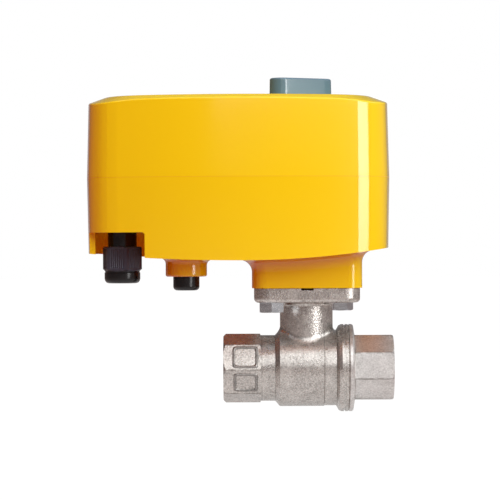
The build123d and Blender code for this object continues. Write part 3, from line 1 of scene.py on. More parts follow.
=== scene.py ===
import bmesh
import bpy
import json
import math
import numpy as np
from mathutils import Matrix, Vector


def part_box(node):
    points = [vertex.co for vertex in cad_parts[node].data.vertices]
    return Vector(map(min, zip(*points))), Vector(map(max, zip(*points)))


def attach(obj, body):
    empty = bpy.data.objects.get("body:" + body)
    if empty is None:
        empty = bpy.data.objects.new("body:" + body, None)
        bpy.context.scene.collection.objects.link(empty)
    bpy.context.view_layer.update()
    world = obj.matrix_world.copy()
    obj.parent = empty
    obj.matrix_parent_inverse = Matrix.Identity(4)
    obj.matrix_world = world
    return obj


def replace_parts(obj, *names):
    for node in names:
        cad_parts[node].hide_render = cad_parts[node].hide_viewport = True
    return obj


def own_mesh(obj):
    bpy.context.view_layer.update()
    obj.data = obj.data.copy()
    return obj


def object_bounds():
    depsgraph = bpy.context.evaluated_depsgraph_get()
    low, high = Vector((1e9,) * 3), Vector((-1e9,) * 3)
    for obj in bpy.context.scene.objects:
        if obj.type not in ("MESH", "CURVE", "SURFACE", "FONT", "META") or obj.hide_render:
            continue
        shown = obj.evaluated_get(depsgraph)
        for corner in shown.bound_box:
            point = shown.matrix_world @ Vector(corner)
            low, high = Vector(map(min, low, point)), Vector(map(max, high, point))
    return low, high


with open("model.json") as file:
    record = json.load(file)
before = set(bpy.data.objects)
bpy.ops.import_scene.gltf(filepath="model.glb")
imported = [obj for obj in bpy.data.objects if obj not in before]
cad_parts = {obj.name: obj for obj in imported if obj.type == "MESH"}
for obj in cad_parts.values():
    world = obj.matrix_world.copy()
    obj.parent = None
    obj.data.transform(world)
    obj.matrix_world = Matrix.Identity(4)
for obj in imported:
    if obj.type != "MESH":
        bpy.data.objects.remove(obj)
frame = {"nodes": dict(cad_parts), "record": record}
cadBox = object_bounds()
nodes = frame["nodes"]
print("frame loaded with", len(nodes), "nodes")

# Lengths in metres, as in the frame: X along the pipe, Z up the stem, the origin on the pipe axis
mm = 0.001
fullTurn = 2 * math.pi


class Wire:
    # A shader output that can stand in a sum, so that 1 - mask adds its own Math node
    def __init__(self, graph, socket):
        self.graph = graph
        self.socket = socket

    def __add__(self, other):
        return self.graph.maths("ADD", self, other)

    def __radd__(self, other):
        return self.graph.maths("ADD", other, self)

    def __sub__(self, other):
        return self.graph.maths("SUBTRACT", self, other)

    def __rsub__(self, other):
        return self.graph.maths("SUBTRACT", other, self)

    def __mul__(self, other):
        return self.graph.maths("MULTIPLY", self, other)

    def __rmul__(self, other):
        return self.graph.maths("MULTIPLY", other, self)

    def __truediv__(self, other):
        return self.graph.maths("DIVIDE", self, other)

    def __gt__(self, other):
        return self.graph.maths("GREATER_THAN", self, other)

    def __lt__(self, other):
        return self.graph.maths("LESS_THAN", self, other)


# Detail and roughness of each kind of noise
noiseKinds = dict(
    wave=(1.0, 0.5), cloud=(2.0, 0.5), grain=(3.0, 0.5), speck=(3.0, 0.6), cast=(4.0, 0.6), skin=(4.0, 0.65),
)


class Graph:
    # The node tree of a material or of the world, and the place that its patterns read
    def __init__(self, owner, coordinates="Object"):
        owner.use_nodes = True
        self.owner = owner
        self.tree = owner.node_tree
        self.tree.nodes.clear()
        self.place = self.add("ShaderNodeTexCoord", out=coordinates)

    def add(self, kind, settings=None, sockets=None, out=0):
        # Any node: its settings first, then the values or links of its sockets
        node = self.tree.nodes.new(kind)
        for key, value in (settings or {}).items():
            setattr(node, key, value)
        for key, value in (sockets or {}).items():
            if isinstance(value, Wire):
                self.tree.links.new(value.socket, node.inputs[key])
            else:
                node.inputs[key].default_value = value
        return Wire(self, node.outputs[out] if node.outputs else None)

    def maths(self, operation, *values):
        return self.add("ShaderNodeMath", {"operation": operation}, dict(enumerate(values)))

    def split(self, kind, sockets, *names):
        # One node of which several outputs are used
        node = self.add(kind, {}, sockets).socket.node
        return [Wire(self, node.outputs[name]) for name in names]

    def axes(self):
        return self.split("ShaderNodeSeparateXYZ", {0: self.place}, "X", "Y", "Z")

    def noise(self, kind, perMetre, place=None):
        detail, roughness = noiseKinds[kind]
        sockets = {"Vector": place or self.place, "Scale": perMetre, "Detail": detail, "Roughness": roughness}
        return self.add("ShaderNodeTexNoise", {}, sockets, "Fac")

    def ramp(self, value, low, high):
        # 0 under low, 1 over high, straight between them
        sockets = {"Value": value, "From Min": low, "From Max": high}
        return self.add("ShaderNodeMapRange", {"clamp": True}, sockets)

    def blend(self, amount, first, second):
        # The first colour where the amount is 0, the second where it is 1
        settings = {"data_type": "RGBA", "blend_type": "MIX", "clamp_factor": True}
        node = self.add("ShaderNodeMix", settings, {"Factor": amount}).socket.node
        colours = [socket for socket in node.inputs if socket.type == "RGBA"]
        for socket, value in zip(colours, (first, second)):
            if isinstance(value, Wire):
                self.tree.links.new(value.socket, socket)
            else:
                socket.default_value = (*value, 1.0)
        return Wire(self, [socket for socket in node.outputs if socket.type == "RGBA"][0])

    def relief(self, *layers):
        # A chain of Bump nodes, one for each height and its depth in metres
        normal = None
        for height, depth in layers:
            sockets = {"Height": height, "Distance": depth, "Strength": 1.0}
            if normal:
                sockets["Normal"] = normal
            normal = self.add("ShaderNodeBump", {}, sockets, "Normal")
        return normal

    def gloss(self, look, *noises):
        # The look's roughness, which each noise carries half its spread up and down
        roughness = look["rough"]
        for noise in noises:
            roughness = roughness + (noise - 0.5) * look["roughSpread"]
        return roughness

    def finish(self, colour, roughness, metallic, normal, **fixed):
        sockets = {"Base Color": colour, "Roughness": roughness, "Metallic": metallic, "Normal": normal}
        sockets.update({key.replace("_", " "): value for key, value in fixed.items()})
        shader = self.add("ShaderNodeBsdfPrincipled", {}, sockets, "BSDF")
        self.add("ShaderNodeOutputMaterial", {}, {"Surface": shader})
        return self.owner


coatRough = 0.08
# Scales of the patterns are per metre, and depths are in metres
plastics = {
    "yellow_housing": dict(
        colour=(0.97, 0.73, 0.001), contrast=0.02, drift=18, rough=0.16, roughSpread=0.05, ior=1.43, coat=0.5,
        grain=1400, grainDepth=4e-6, wave=60, waveDepth=6e-5,
    ),
    "seam_silicone": dict(
        colour=(0.85, 0.50, 0.004), contrast=0.05, drift=60, rough=0.45, roughSpread=0.08, ior=1.42,
        grain=2400, grainDepth=1e-5, wave=160, waveDepth=2e-5,
    ),
    "black_plastic": dict(
        colour=(0.006, 0.0055, 0.007), contrast=0.25, drift=90, rough=0.24, roughSpread=0.10, ior=1.5,
        grain=2600, grainDepth=2e-5, wave=200, waveDepth=3e-5,
    ),
    "grey_knob": dict(
        colour=(0.105, 0.20, 0.275), contrast=0.05, drift=60, rough=0.15, roughSpread=0.05, ior=1.65,
        grain=2200, grainDepth=1e-5, wave=120, waveDepth=3e-5,
    ),
    "black_rubber": dict(
        colour=(0.018, 0.018, 0.018), contrast=0.3, drift=150, rough=0.62, roughSpread=0.12, ior=1.5,
        grain=3000, grainDepth=4e-5, wave=200, waveDepth=4e-5,
    ),
    "white_ptfe": dict(
        colour=(0.80, 0.80, 0.77), contrast=0.04, drift=80, rough=0.42, roughSpread=0.08, ior=1.38,
        grain=2500, grainDepth=2e-5, wave=150, waveDepth=3e-5,
    ),
    "cam_white": dict(
        colour=(0.78, 0.76, 0.70), contrast=0.05, drift=90, rough=0.40, roughSpread=0.08, ior=1.46,
        grain=2500, grainDepth=2e-5, wave=150, waveDepth=3e-5,
    ),
    "cam_red": dict(
        colour=(0.50, 0.025, 0.018), contrast=0.08, drift=90, rough=0.36, roughSpread=0.08, ior=1.46,
        grain=2500, grainDepth=2e-5, wave=150, waveDepth=3e-5,
    ),
    "terminal_grey": dict(
        colour=(0.16, 0.19, 0.20), contrast=0.08, drift=90, rough=0.45, roughSpread=0.08, ior=1.46,
        grain=2500, grainDepth=3e-5, wave=150, waveDepth=3e-5,
    ),
    "capacitor_blue": dict(
        colour=(0.015, 0.06, 0.26), contrast=0.08, drift=120, rough=0.22, roughSpread=0.08, ior=1.5,
        grain=1500, grainDepth=2e-5, wave=250, waveDepth=1e-4,
    ),
}


def moulded(name, look):
    # Plastic or rubber: slight colour drift, fine grain, long shallow waves and an uneven gloss
    graph = Graph(bpy.data.materials.new(name))
    drift = graph.noise("cloud", look["drift"])
    grain = graph.noise("grain", look["grain"])
    wave = graph.noise("wave", look["wave"])
    deep = [part * (1 - look["contrast"]) for part in look["colour"]]
    bright = [min(part * (1 + look["contrast"]), 1.0) for part in look["colour"]]
    surface = graph.relief((grain, look["grainDepth"]), (wave, look["waveDepth"]))
    return graph.finish(
        graph.blend(drift, deep, bright), graph.gloss(look, drift, grain), 0.0, surface,
        IOR=look["ior"], Coat_Weight=look.get("coat", 0.0), Coat_Roughness=coatRough,
    )


# A stretch makes the grain brushed: the larger number is the direction across the strokes
metals = {
    "zinc_steel": dict(
        dark=(0.56, 0.60, 0.66), light=(0.84, 0.87, 0.90), stain=260, rough=0.15, roughSpread=0.08,
        grain=2600, grainDepth=2e-5, pits=700, pitDepth=2e-5,
    ),
    "polished_chrome": dict(
        dark=(0.68, 0.69, 0.70), light=(0.80, 0.80, 0.81), stain=60, rough=0.07, roughSpread=0.04,
        grain=3000, grainDepth=2e-6, pits=800, pitDepth=2e-6,
    ),
    "bare_brass": dict(
        dark=(0.42, 0.25, 0.08), light=(0.72, 0.50, 0.20), stain=160, rough=0.27, roughSpread=0.12,
        stretch=(1, 1, 12), grain=900, grainDepth=2e-5, pits=900, pitDepth=1e-5,
    ),
    "bronze": dict(
        dark=(0.22, 0.12, 0.055), light=(0.45, 0.27, 0.13), stain=300, rough=0.42, roughSpread=0.14,
        grain=3200, grainDepth=3e-5, pits=1200, pitDepth=3e-5,
    ),
    "gear_steel": dict(
        dark=(0.26, 0.26, 0.25), light=(0.50, 0.50, 0.49), stain=140, rough=0.30, roughSpread=0.14,
        stretch=(1, 1, 10), grain=1100, grainDepth=2e-5, pits=900, pitDepth=1e-5,
    ),
    "spring_steel": dict(
        dark=(0.20, 0.20, 0.21), light=(0.42, 0.42, 0.43), stain=300, rough=0.28, roughSpread=0.12,
        grain=3000, grainDepth=1e-5, pits=900, pitDepth=1e-5,
    ),
    "plate_steel": dict(
        dark=(0.46, 0.47, 0.47), light=(0.68, 0.68, 0.67), stain=110, rough=0.33, roughSpread=0.14,
        stretch=(1, 14, 1), grain=700, grainDepth=1e-5, pits=500, pitDepth=1e-5,
    ),
    "motor_zinc": dict(
        dark=(0.40, 0.40, 0.41), light=(0.60, 0.60, 0.61), stain=180, rough=0.44, roughSpread=0.14,
        grain=1800, grainDepth=4e-5, pits=600, pitDepth=4e-5,
    ),
}


def metal(name, look):
    # Metal: cast or brushed grain and pits in the relief, stains in colour and gloss
    graph = Graph(bpy.data.materials.new(name))
    sockets = {"Vector": graph.place, "Scale": look.get("stretch", (1, 1, 1))}
    stain = graph.noise("cast", look["stain"])
    grain = graph.noise("cast", look["grain"], graph.add("ShaderNodeMapping", {}, sockets))
    pits = graph.noise("cloud", look["pits"])
    surface = graph.relief((grain, look["grainDepth"]), (pits, look["pitDepth"]))
    return graph.finish(
        graph.blend(stain, look["dark"], look["light"]), graph.gloss(look, stain, grain), 1.0, surface,
    )


# Where the valve's shape shows in its plating, as painted shade along edges and steps and as the ports'
# threads; outletTurn is the outlet octagon's turn in degrees, and edgeWidth the angle in radians that a
# painted shade line along an edge takes up on each side
valve = dict(
    length=69.4 * mm, outside=13.2 * mm, barrelTop=17.35 * mm,
    inletEnd=15.4 * mm, outletStart=53.0 * mm, outletTurn=16.5, edgeWidth=0.028,
    rings=(15.7 * mm, 21.1 * mm, 41.0 * mm, 46.2 * mm, 51.1 * mm, 53.5 * mm), ringWidth=0.16 * mm,
    portRadius=9.62 * mm, portDepth=13.5 * mm, portLip=0.6 * mm, threadPitch=1.81 * mm, threadDepth=0.9 * mm,
)
plating = dict(
    metallic=0.86, stain=220, clouds=60, speck=1500, speckShare=0.65, shades=(0.36, 0.64),
    # The dark line colour and its share are painted shade along the edges and steps, and the thread root
    # colour is painted shade in the thread's roots
    edgeShade=(0.20, 0.18, 0.16), edgeShadeShare=0.75, patches=350, patchShades=(0.30, 0.62),
    threadRootShade=(0.16, 0.14, 0.12),
)
nickels = {
    "nickel_plate": dict(
        dark=(0.36, 0.34, 0.32), light=(0.78, 0.75, 0.71), rough=0.27, roughSpread=0.10,
        skin=1700, skinDepth=1e-4, dimples=500, dimpleDepth=6e-5,
    ),
    "nickel_turned": dict(
        dark=(0.56, 0.54, 0.52), light=(0.84, 0.82, 0.80), rough=0.33, roughSpread=0.10,
        skin=2200, skinDepth=4e-5, dimples=600, dimpleDepth=3e-5,
    ),
    # A darker copy of the nickel for the plate frames' rims: painted shade
    "nickel_rim_shaded": dict(
        dark=(0.20, 0.19, 0.18), light=(0.46, 0.44, 0.42), rough=0.34, roughSpread=0.10,
        skin=2200, skinDepth=3e-5, dimples=600, dimpleDepth=2e-5,
    ),
}


def nickelSkin(name, look):
    # Satin plate on cast or turned metal: specks and stains, and thin dark lines painted as shade along the
    # octagons' edges and at the rings where the outside steps, broken into patches; and the thread's turns in
    # both ports, their roots darkened as painted shade
    graph = Graph(bpy.data.materials.new(name))
    x, y, z = graph.axes()
    stain = graph.noise("cast", plating["stain"])
    clouds = graph.noise("cloud", plating["clouds"])
    speck = graph.noise("speck", plating["speck"])
    shade = stain * (1 - plating["speckShare"]) + speck * plating["speckShare"]
    colour = graph.blend(graph.ramp(shade, *plating["shades"]), look["dark"], look["light"])
    fromAxis = graph.maths("SQRT", y * y + z * z)
    fromEnd = graph.maths("MINIMUM", x, valve["length"] - x)
    turn = graph.maths("ARCTAN2", z, y) / fullTurn

    def octagonEdges(turnedBy):
        # A sixteenth of a turn is half a facet, so this is the turn from the nearest edge
        fromEdge = graph.maths("PINGPONG", turn - turnedBy / 360, 1 / 16)
        return fromEdge < valve["edgeWidth"] / fullTurn

    # Painted shade: dark lines along the octagons' edges and at the rings where the outside steps
    edgeShadeLines = octagonEdges(0.0) * (x < valve["inletEnd"])
    edgeShadeLines = edgeShadeLines + octagonEdges(valve["outletTurn"]) * (x > valve["outletStart"])
    for ring in valve["rings"]:
        edgeShadeLines = edgeShadeLines + graph.maths("COMPARE", x, ring, valve["ringWidth"])
    patches = graph.ramp(graph.noise("cloud", plating["patches"]), *plating["patchShades"])
    edgeShadeLines = edgeShadeLines * (fromAxis > valve["outside"]) * (z < valve["barrelTop"]) * patches
    # The lines' dark colour is painted shade
    colour = graph.blend(edgeShadeLines * plating["edgeShadeShare"], colour, plating["edgeShade"])
    inPort = (fromAxis < valve["portRadius"]) * (fromEnd < valve["portDepth"]) * (fromEnd > valve["portLip"])
    # 0 in the thread's root and 1 on its crest, along a helix of the thread's pitch
    crest = graph.maths("PINGPONG", x / valve["threadPitch"] + turn, 0.5) * 2.0
    # Painted shade in the roots of the ports' threads
    colour = graph.blend(inPort * (1.0 - crest), colour, plating["threadRootShade"])
    skin = graph.noise("skin", look["skin"])
    dimples = graph.noise("cloud", look["dimples"])
    surface = graph.relief(
        (skin, look["skinDepth"]), (dimples, look["dimpleDepth"]), (crest * inPort, valve["threadDepth"]),
    )
    return graph.finish(colour, graph.gloss(look, stain, clouds), plating["metallic"], surface)


nutLook = dict(
    gripFrom=39.9 * mm, gripTo=40.5 * mm, gripRough=0.16, rough=0.20, roughSpread=0.08, ior=1.5,
    shiny=((0.004, 0.0037, 0.0045), (0.0065, 0.006, 0.0075)),
    # The lighter blue-grey grip colours are a painted sheen
    gripSheen=((0.038, 0.050, 0.082), (0.066, 0.082, 0.125)), grain=2600, grainDepth=2e-5,
)


def nutPlastic():
    # Dull grip on the hexagon in a lighter blue-grey, a painted sheen on its ribs; shiny and darker on the
    # collar and dome under it
    graph = Graph(bpy.data.materials.new("nut_plastic"))
    height = graph.axes()[2]
    grip = graph.ramp(height, nutLook["gripFrom"], nutLook["gripTo"])
    grain = graph.noise("grain", nutLook["grain"])
    colour = graph.blend(grip, graph.blend(grain, *nutLook["shiny"]), graph.blend(grain, *nutLook["gripSheen"]))
    roughness = graph.gloss(nutLook, grain) + grip * nutLook["gripRough"]
    surface = graph.relief((grain, nutLook["grainDepth"]))
    return graph.finish(colour, roughness, 0.0, surface, IOR=nutLook["ior"])


boardLook = dict(
    lacquer=((0.008, 0.075, 0.028), (0.014, 0.11, 0.04)), drift=300, rough=0.28, roughSpread=0.12, ior=1.5,
    tracks=90.0, trackWidth=0.012, trackDepth=3e-5, trackColour=(0.03, 0.20, 0.07),
    spots=260.0, spotSize=0.16, spotShare=0.8, solder=(0.45, 0.42, 0.33),
)


def boardLaminate():
    # Green lacquer with raised tracks under it and spots of solder
    graph = Graph(bpy.data.materials.new("board_green"))
    bricks = {"Vector": graph.place, "Scale": boardLook["tracks"], "Mortar Size": boardLook["trackWidth"]}
    tracks = graph.add("ShaderNodeTexBrick", {}, bricks, "Fac")
    cells = {"Vector": graph.place, "Scale": boardLook["spots"]}
    spots = graph.add("ShaderNodeTexVoronoi", {}, cells, "Distance") < boardLook["spotSize"]
    drift = graph.noise("grain", boardLook["drift"])
    colour = graph.blend(tracks, graph.blend(drift, *boardLook["lacquer"]), boardLook["trackColour"])
    colour = graph.blend(spots * boardLook["spotShare"], colour, boardLook["solder"])
    surface = graph.relief((tracks, boardLook["trackDepth"]))
    return graph.finish(colour, graph.gloss(boardLook, drift), 0.0, surface, IOR=boardLook["ior"])


finishes = {name: moulded(name, look) for name, look in plastics.items()}
finishes.update({name: metal(name, look) for name, look in metals.items()})
finishes.update({name: nickelSkin(name, look) for name, look in nickels.items()})
finishes.update(nut_plastic=nutPlastic(), board_green=boardLaminate())
# The connector is turned, and the body that shares its slot is cast
dressedAs = {"end_connector": "nickel_turned"}
slotOf = {part["node"]: part["material_slot"] for part in frame["record"]["subparts"]}
for name, node in nodes.items():
    node.data.materials.clear()
    node.data.materials.append(finishes[dressedAs.get(name, slotOf[name])])
print("finishes made:", len(finishes))

mergeDistance = 1e-7


def mergedMesh(name, source):
    # A copy of a mesh with its doubles merged and its faces turned outwards
    merged = bmesh.new()
    merged.from_mesh(source)
    bmesh.ops.remove_doubles(merged, verts=merged.verts, dist=mergeDistance)
    bmesh.ops.recalc_face_normals(merged, faces=merged.faces)
    mesh = bpy.data.meshes.new(name)
    merged.to_mesh(mesh)
    merged.free()
    return mesh


def addPiece(mesh, finish, body):
    mesh.materials.append(finishes[finish])
    piece = bpy.data.objects.new(mesh.name, mesh)
    bpy.context.scene.collection.objects.link(piece)
    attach(piece, body)
    return piece


def gridMesh(name, points, wrapRows=True, sharp=30.0):
    # Quads between neighbours in an array of points: its last column is joined to the first, and
    # with wrapRows its last row too; edges that bend by more than sharp degrees stay sharp
    rows, columns = points.shape[:2]
    index = np.arange(rows * columns).reshape(rows, columns)
    index = np.concatenate([index, index[:, :1]], axis=1)
    if wrapRows:
        index = np.concatenate([index, index[:1]], axis=0)
    corners = [index[:-1, :-1], index[:-1, 1:], index[1:, 1:], index[1:, :-1]]
    loose = bpy.data.meshes.new("loose_" + name)
    loose.from_pydata(points.reshape(-1, 3), [], np.stack(corners, axis=-1).reshape(-1, 4).tolist())
    mesh = mergedMesh(name, loose)
    bpy.data.meshes.remove(loose)
    mesh.shade_smooth()
    mesh.set_sharp_from_angle(angle=math.radians(sharp))
    return mesh


# In mm and degrees. topBevel is pairs: how far below the top, and how far inside the hexagon's corner
gland = dict(
    x=-40.5, y=-14.0, turn=45.0, steps=720, flats=14.3, top=50.0, bore=5.93,
    topBevel=((0.0, 0.9), (0.15, 0.55), (0.5, 0.0)),
    ribFrom=41.3, ribTo=49.2, ribEnd=0.15, ribRings=26, ribPitch=0.86, ribDepth=0.26, ribReach=3.01,
    hexBottom=40.4, hexFoot=0.45, hexCorner=0.05, hexUnder=0.15, hexStep=0.25,
    collar=7.2, collarTop=39.4, collarBevel=0.25, collarBottom=37.3,
    domeRings=10, domePower=0.7, domeRim=0.35, bottom=35.2, mouth=4.5, mouthBevel=0.12, sealBottom=37.0,
)


def glandNut():
    # Rings at falling heights and back up inside the mouth. A hexagonal ring's radius is the smaller of
    # the hexagon's distance and a limit, less the ribs, a cosine wave along each flat; the dome's radius
    # falls from the collar to the mouth as a power of the cosine while its height falls as the sine
    turn = np.linspace(0, fullTurn, gland["steps"], endpoint=False)
    away = (turn - math.radians(gland["turn"])) % (np.pi / 3) - np.pi / 6
    flat = gland["flats"] / 2
    corner = gland["flats"] / math.sqrt(3)
    hexagon = flat / np.cos(away)
    alongFlat = flat * np.tan(away)
    ribs = gland["ribDepth"] * (0.5 + 0.5 * np.cos(fullTurn * alongFlat / gland["ribPitch"]))
    ribs = ribs * (np.abs(alongFlat) < gland["ribReach"])
    rings = []

    def hexRing(height, limit, ribShare=0.0):
        rings.append((height, np.minimum(hexagon, limit) - ribs * ribShare))

    def roundRing(height, radius):
        rings.append((height, np.full(turn.shape, radius)))

    roundRing(gland["top"], gland["bore"])
    for down, inside in gland["topBevel"]:
        hexRing(gland["top"] - down, corner - inside)
    ribTop, ribBottom = gland["ribTo"] + gland["ribEnd"], gland["ribFrom"] - gland["ribEnd"]
    for height in np.linspace(ribTop, ribBottom, gland["ribRings"]):
        hexRing(height, corner, 1.0 if gland["ribFrom"] <= height <= gland["ribTo"] else 0.0)
    hexRing(gland["hexBottom"] + gland["hexFoot"], corner - gland["hexCorner"])
    hexRing(gland["hexBottom"], flat + gland["hexUnder"])
    roundRing(gland["hexBottom"] - gland["hexStep"], flat - gland["hexUnder"])
    roundRing(gland["collarTop"] + gland["collarBevel"], gland["collar"] - gland["collarBevel"])
    roundRing(gland["collarTop"], gland["collar"])
    rimRadius = gland["mouth"] + gland["domeRim"]
    for bend in np.linspace(0, np.pi / 2, gland["domeRings"]):
        fall = (gland["collarBottom"] - gland["bottom"]) * math.sin(bend)
        spread = (gland["collar"] - rimRadius) * math.cos(bend) ** gland["domePower"]
        roundRing(gland["collarBottom"] - fall, rimRadius + spread)
    roundRing(gland["bottom"], gland["mouth"] + gland["mouthBevel"])
    roundRing(gland["bottom"] + gland["mouthBevel"], gland["mouth"])
    roundRing(gland["sealBottom"], gland["mouth"])
    roundRing(gland["sealBottom"], gland["bore"])
    radius = np.array([ring for height, ring in rings])
    height = np.array([height for height, ring in rings])[:, None] + 0 * radius
    x, y = gland["x"] + radius * np.cos(turn), gland["y"] + radius * np.sin(turn)
    mesh = gridMesh("ribbed_gland_nut", np.stack([x, y, height], axis=-1) * mm)
    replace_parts(addPiece(mesh, "nut_plastic", "valve_and_housing"), "gland_nut")
    print("gland nut made")


# In mm: each frame's extent in height as seen from the front and along the pipe, and its facet's tilt
plates = (
    dict(name="upper_plate_frame", facing=22.5, low=0.55, high=9.35, left=3.7, right=14.2),
    dict(name="lower_plate_frame", facing=-22.5, low=-9.0, high=-1.4, left=4.1, right=14.0),
)
# The section is in shares of the width and of the height above the facet
rim = dict(
    width=1.25, height=0.50, facet=13.0, steps=160, squareness=9.0, sharp=70,
    section=((-0.5, -0.12), (-0.42, 0.35), (-0.2, 0.85), (0, 1.0), (0.2, 0.85), (0.42, 0.35), (0.5, -0.12)),
)


def plateFrame(plate):
    # A low rounded ridge carried round a superellipse on the facet: at each angle the reach is the sum of
    # the cosine and the sine, both to the power of the squareness, to the power of minus one over it
    face = math.radians(plate["facing"])
    low, high = plate["low"] / math.cos(face), plate["high"] / math.cos(face)
    middleX = (plate["left"] + plate["right"]) / 2
    middleV = (low + high) / 2 - rim["facet"] * math.tan(face)
    halfX = (plate["right"] - plate["left"]) / 2
    halfV = (high - low) / 2
    turn = np.linspace(0, fullTurn, rim["steps"], endpoint=False)
    power = rim["squareness"]
    reach = (np.abs(np.cos(turn)) ** power + np.abs(np.sin(turn)) ** power) ** (-1 / power)
    across, above = np.array(rim["section"]).T[:, :, None]
    inset = (across - 0.5) * rim["width"]
    x = middleX + reach * np.cos(turn) * (halfX + inset)
    v = middleV + reach * np.sin(turn) * (halfV + inset)
    lift = rim["facet"] + above * rim["height"] + 0 * x
    y = v * math.sin(face) - lift * math.cos(face)
    z = lift * math.sin(face) + v * math.cos(face)
    mesh = gridMesh(plate["name"], np.stack([x, y, z], axis=-1) * mm, sharp=rim["sharp"])
    # The rim takes the darker nickel copy, which is painted shade
    addPiece(mesh, "nickel_rim_shaded", "valve_and_housing")
    print(plate["name"], "made")


seam = dict(under=0.03 * mm)


def flushGasket():
    # The node's own ring, its outer side carried outwards along the level part of its normals until
    # it lies just under the housing's skin
    mesh = mergedMesh("flush_cover_gasket", nodes["cover_gasket"].data)
    places, normals = np.empty(len(mesh.vertices) * 3), np.empty(len(mesh.vertices) * 3)
    mesh.vertices.foreach_get("co", places)
    mesh.vertices.foreach_get("normal", normals)
    places = places.reshape(-1, 3)
    level = normals.reshape(-1, 3)[:, :2]
    level = level / np.maximum(np.linalg.norm(level, axis=1, keepdims=True), 1e-9)
    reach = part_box("base_housing")[1][0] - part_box("cover_gasket")[1][0] - seam["under"]
    fromMiddle = places[:, :2] - places[:, :2].mean(axis=0)
    outer = (fromMiddle * level).sum(axis=1) > 0
    places[outer, :2] += level[outer] * reach
    mesh.vertices.foreach_set("co", places.ravel())
    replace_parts(addPiece(mesh, "seam_silicone", "valve_and_housing"), "cover_gasket")
    print("gasket made")


# In mm: the neck's place and radius, how far the fillet reaches, and the barrel's radius along the pipe
neckRoot = dict(
    x=34.0, radius=10.8, reach=1.7, sunk=0.25, steps=180, curvePoints=9,
    profileX=(15.4, 21.1, 23.0, 41.0, 41.25, 46.2), profileRadius=(13.45, 13.45, 15.65, 15.65, 15.4, 15.4),
)


def neckFillet():
    # A band round the neck's root: each section is a quadratic curve from the neck's side, by way of the
    # corner where neck and barrel meet, to the barrel's skin, closed by three points sunk in the metal
    turn = np.linspace(0, fullTurn, neckRoot["steps"], endpoint=False)

    def onBarrel(away):
        # The barrel's upper skin over a circle round the neck
        x, y = neckRoot["x"] + away * np.cos(turn), away * np.sin(turn)
        radius = np.interp(x, neckRoot["profileX"], neckRoot["profileRadius"])
        return np.stack([x, y, np.sqrt(radius ** 2 - y ** 2)], axis=-1)

    corner = onBarrel(neckRoot["radius"])
    foot = onBarrel(neckRoot["radius"] + neckRoot["reach"])
    start, inner = corner.copy(), corner.copy()
    start[:, 2] = np.maximum(corner[:, 2], foot[:, 2]) + neckRoot["reach"]
    share = np.linspace(0, 1, neckRoot["curvePoints"])[:, None, None]
    band = (1 - share) ** 2 * start + 2 * share * (1 - share) * corner + share ** 2 * foot
    inner[:, :2] -= neckRoot["sunk"] * np.stack([np.cos(turn), np.sin(turn)], axis=-1)
    under = np.stack([foot, inner, inner])
    under[0, :, 2] -= neckRoot["sunk"]
    under[1, :, 2] = np.minimum(corner[:, 2], foot[:, 2]) - neckRoot["sunk"]
    under[2, :, 2] = start[:, 2]
    mesh = gridMesh("neck_root_fillet", np.concatenate([band, under]) * mm)
    addPiece(mesh, "nickel_plate", "valve_and_housing")
    print("neck fillet made")


spring = dict(turns=4.0, wire=0.6 * mm, travel=4.0 * mm, rowsPerTurn=36, sides=10)


def buttonSpring():
    # A round wire whose centre runs along a helix, its section square to the path. Each end is flat and
    # parallel to the next section
    low, high = (np.array(corner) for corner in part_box("button_spring"))
    middle = (low + high) / 2
    wireRadius = spring["wire"] / 2
    radius = (high[0] - low[0]) / 2 - wireRadius
    climb = (high[2] - low[2] - spring["wire"]) / (fullTurn * spring["turns"])
    rows = int(spring["turns"] * spring["rowsPerTurn"]) + 1
    turn = np.linspace(0, fullTurn * spring["turns"], rows)[:, None]
    around = np.linspace(0, fullTurn, spring["sides"], endpoint=False)[None, :, None]
    outward = np.stack([np.cos(turn), np.sin(turn), 0 * turn], axis=-1)
    upward = np.stack([np.sin(turn) * climb, -np.cos(turn) * climb, 0 * turn + radius], axis=-1)
    upward = upward / math.hypot(radius, climb)
    start = np.array([middle[0], middle[1], low[2] + wireRadius])
    path = start + radius * outward + np.stack([0 * turn, 0 * turn, climb * turn], axis=-1)
    circles = np.cos(around) * outward + np.sin(around) * upward
    circles[[0, -1]] = circles[[1, -2]]
    tube = path + wireRadius * circles
    flat = 0 * circles[:1]
    tube = np.concatenate([path[:1] + flat, tube, path[-1:] + flat])
    mesh = gridMesh("coiled_button_spring", tube, wrapRows=False)
    piece = addPiece(mesh, "spring_steel", "valve_and_housing")
    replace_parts(piece, "button_spring")
    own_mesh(piece)
    print("button spring made")


glandNut()
neckFillet()
flushGasket()
buttonSpring()
for plate in plates:
    plateFrame(plate)

photoCamera = dict(eye=(11.07 * mm, -943 * mm, 49.6 * mm), lens=165.6, sensor=36, roll=0.27, shift=-0.006)


def addThing(name, data):
    thing = bpy.data.objects.new(name, data)
    bpy.context.scene.collection.objects.link(thing)
    return thing


def camera():
    data = bpy.data.cameras.new("photoCamera")
    data.lens = photoCamera["lens"]
    data.sensor_width = photoCamera["sensor"]
    data.shift_y = photoCamera["shift"]
    eye = addThing("photoCamera", data)
    eye.location = photoCamera["eye"]
    eye.rotation_euler = (math.radians(90), math.radians(photoCamera["roll"]), 0)
    bpy.context.scene.camera = eye


# Each lamp stands away from the target by its reach, at a turn from the front towards the right and
# a rise above the horizon, both in degrees; its glow is its surface's brightness
lampTarget = (0.006, 0.0, 0.05)
lamps = (
    dict(name="keyBox", turn=22, rise=29.5, reach=1.3, size=(1.5, 0.95), glow=1.70),
    dict(name="topBox", turn=0, rise=68, reach=1.3, size=(1.7, 0.9), glow=1.38),
    dict(name="rightStrip", turn=43, rise=4, reach=1.3, size=(0.30, 0.9), glow=7.8),
    dict(name="rightEdge", turn=80, rise=30, reach=1.2, size=(0.6, 0.6), glow=2.0),
)


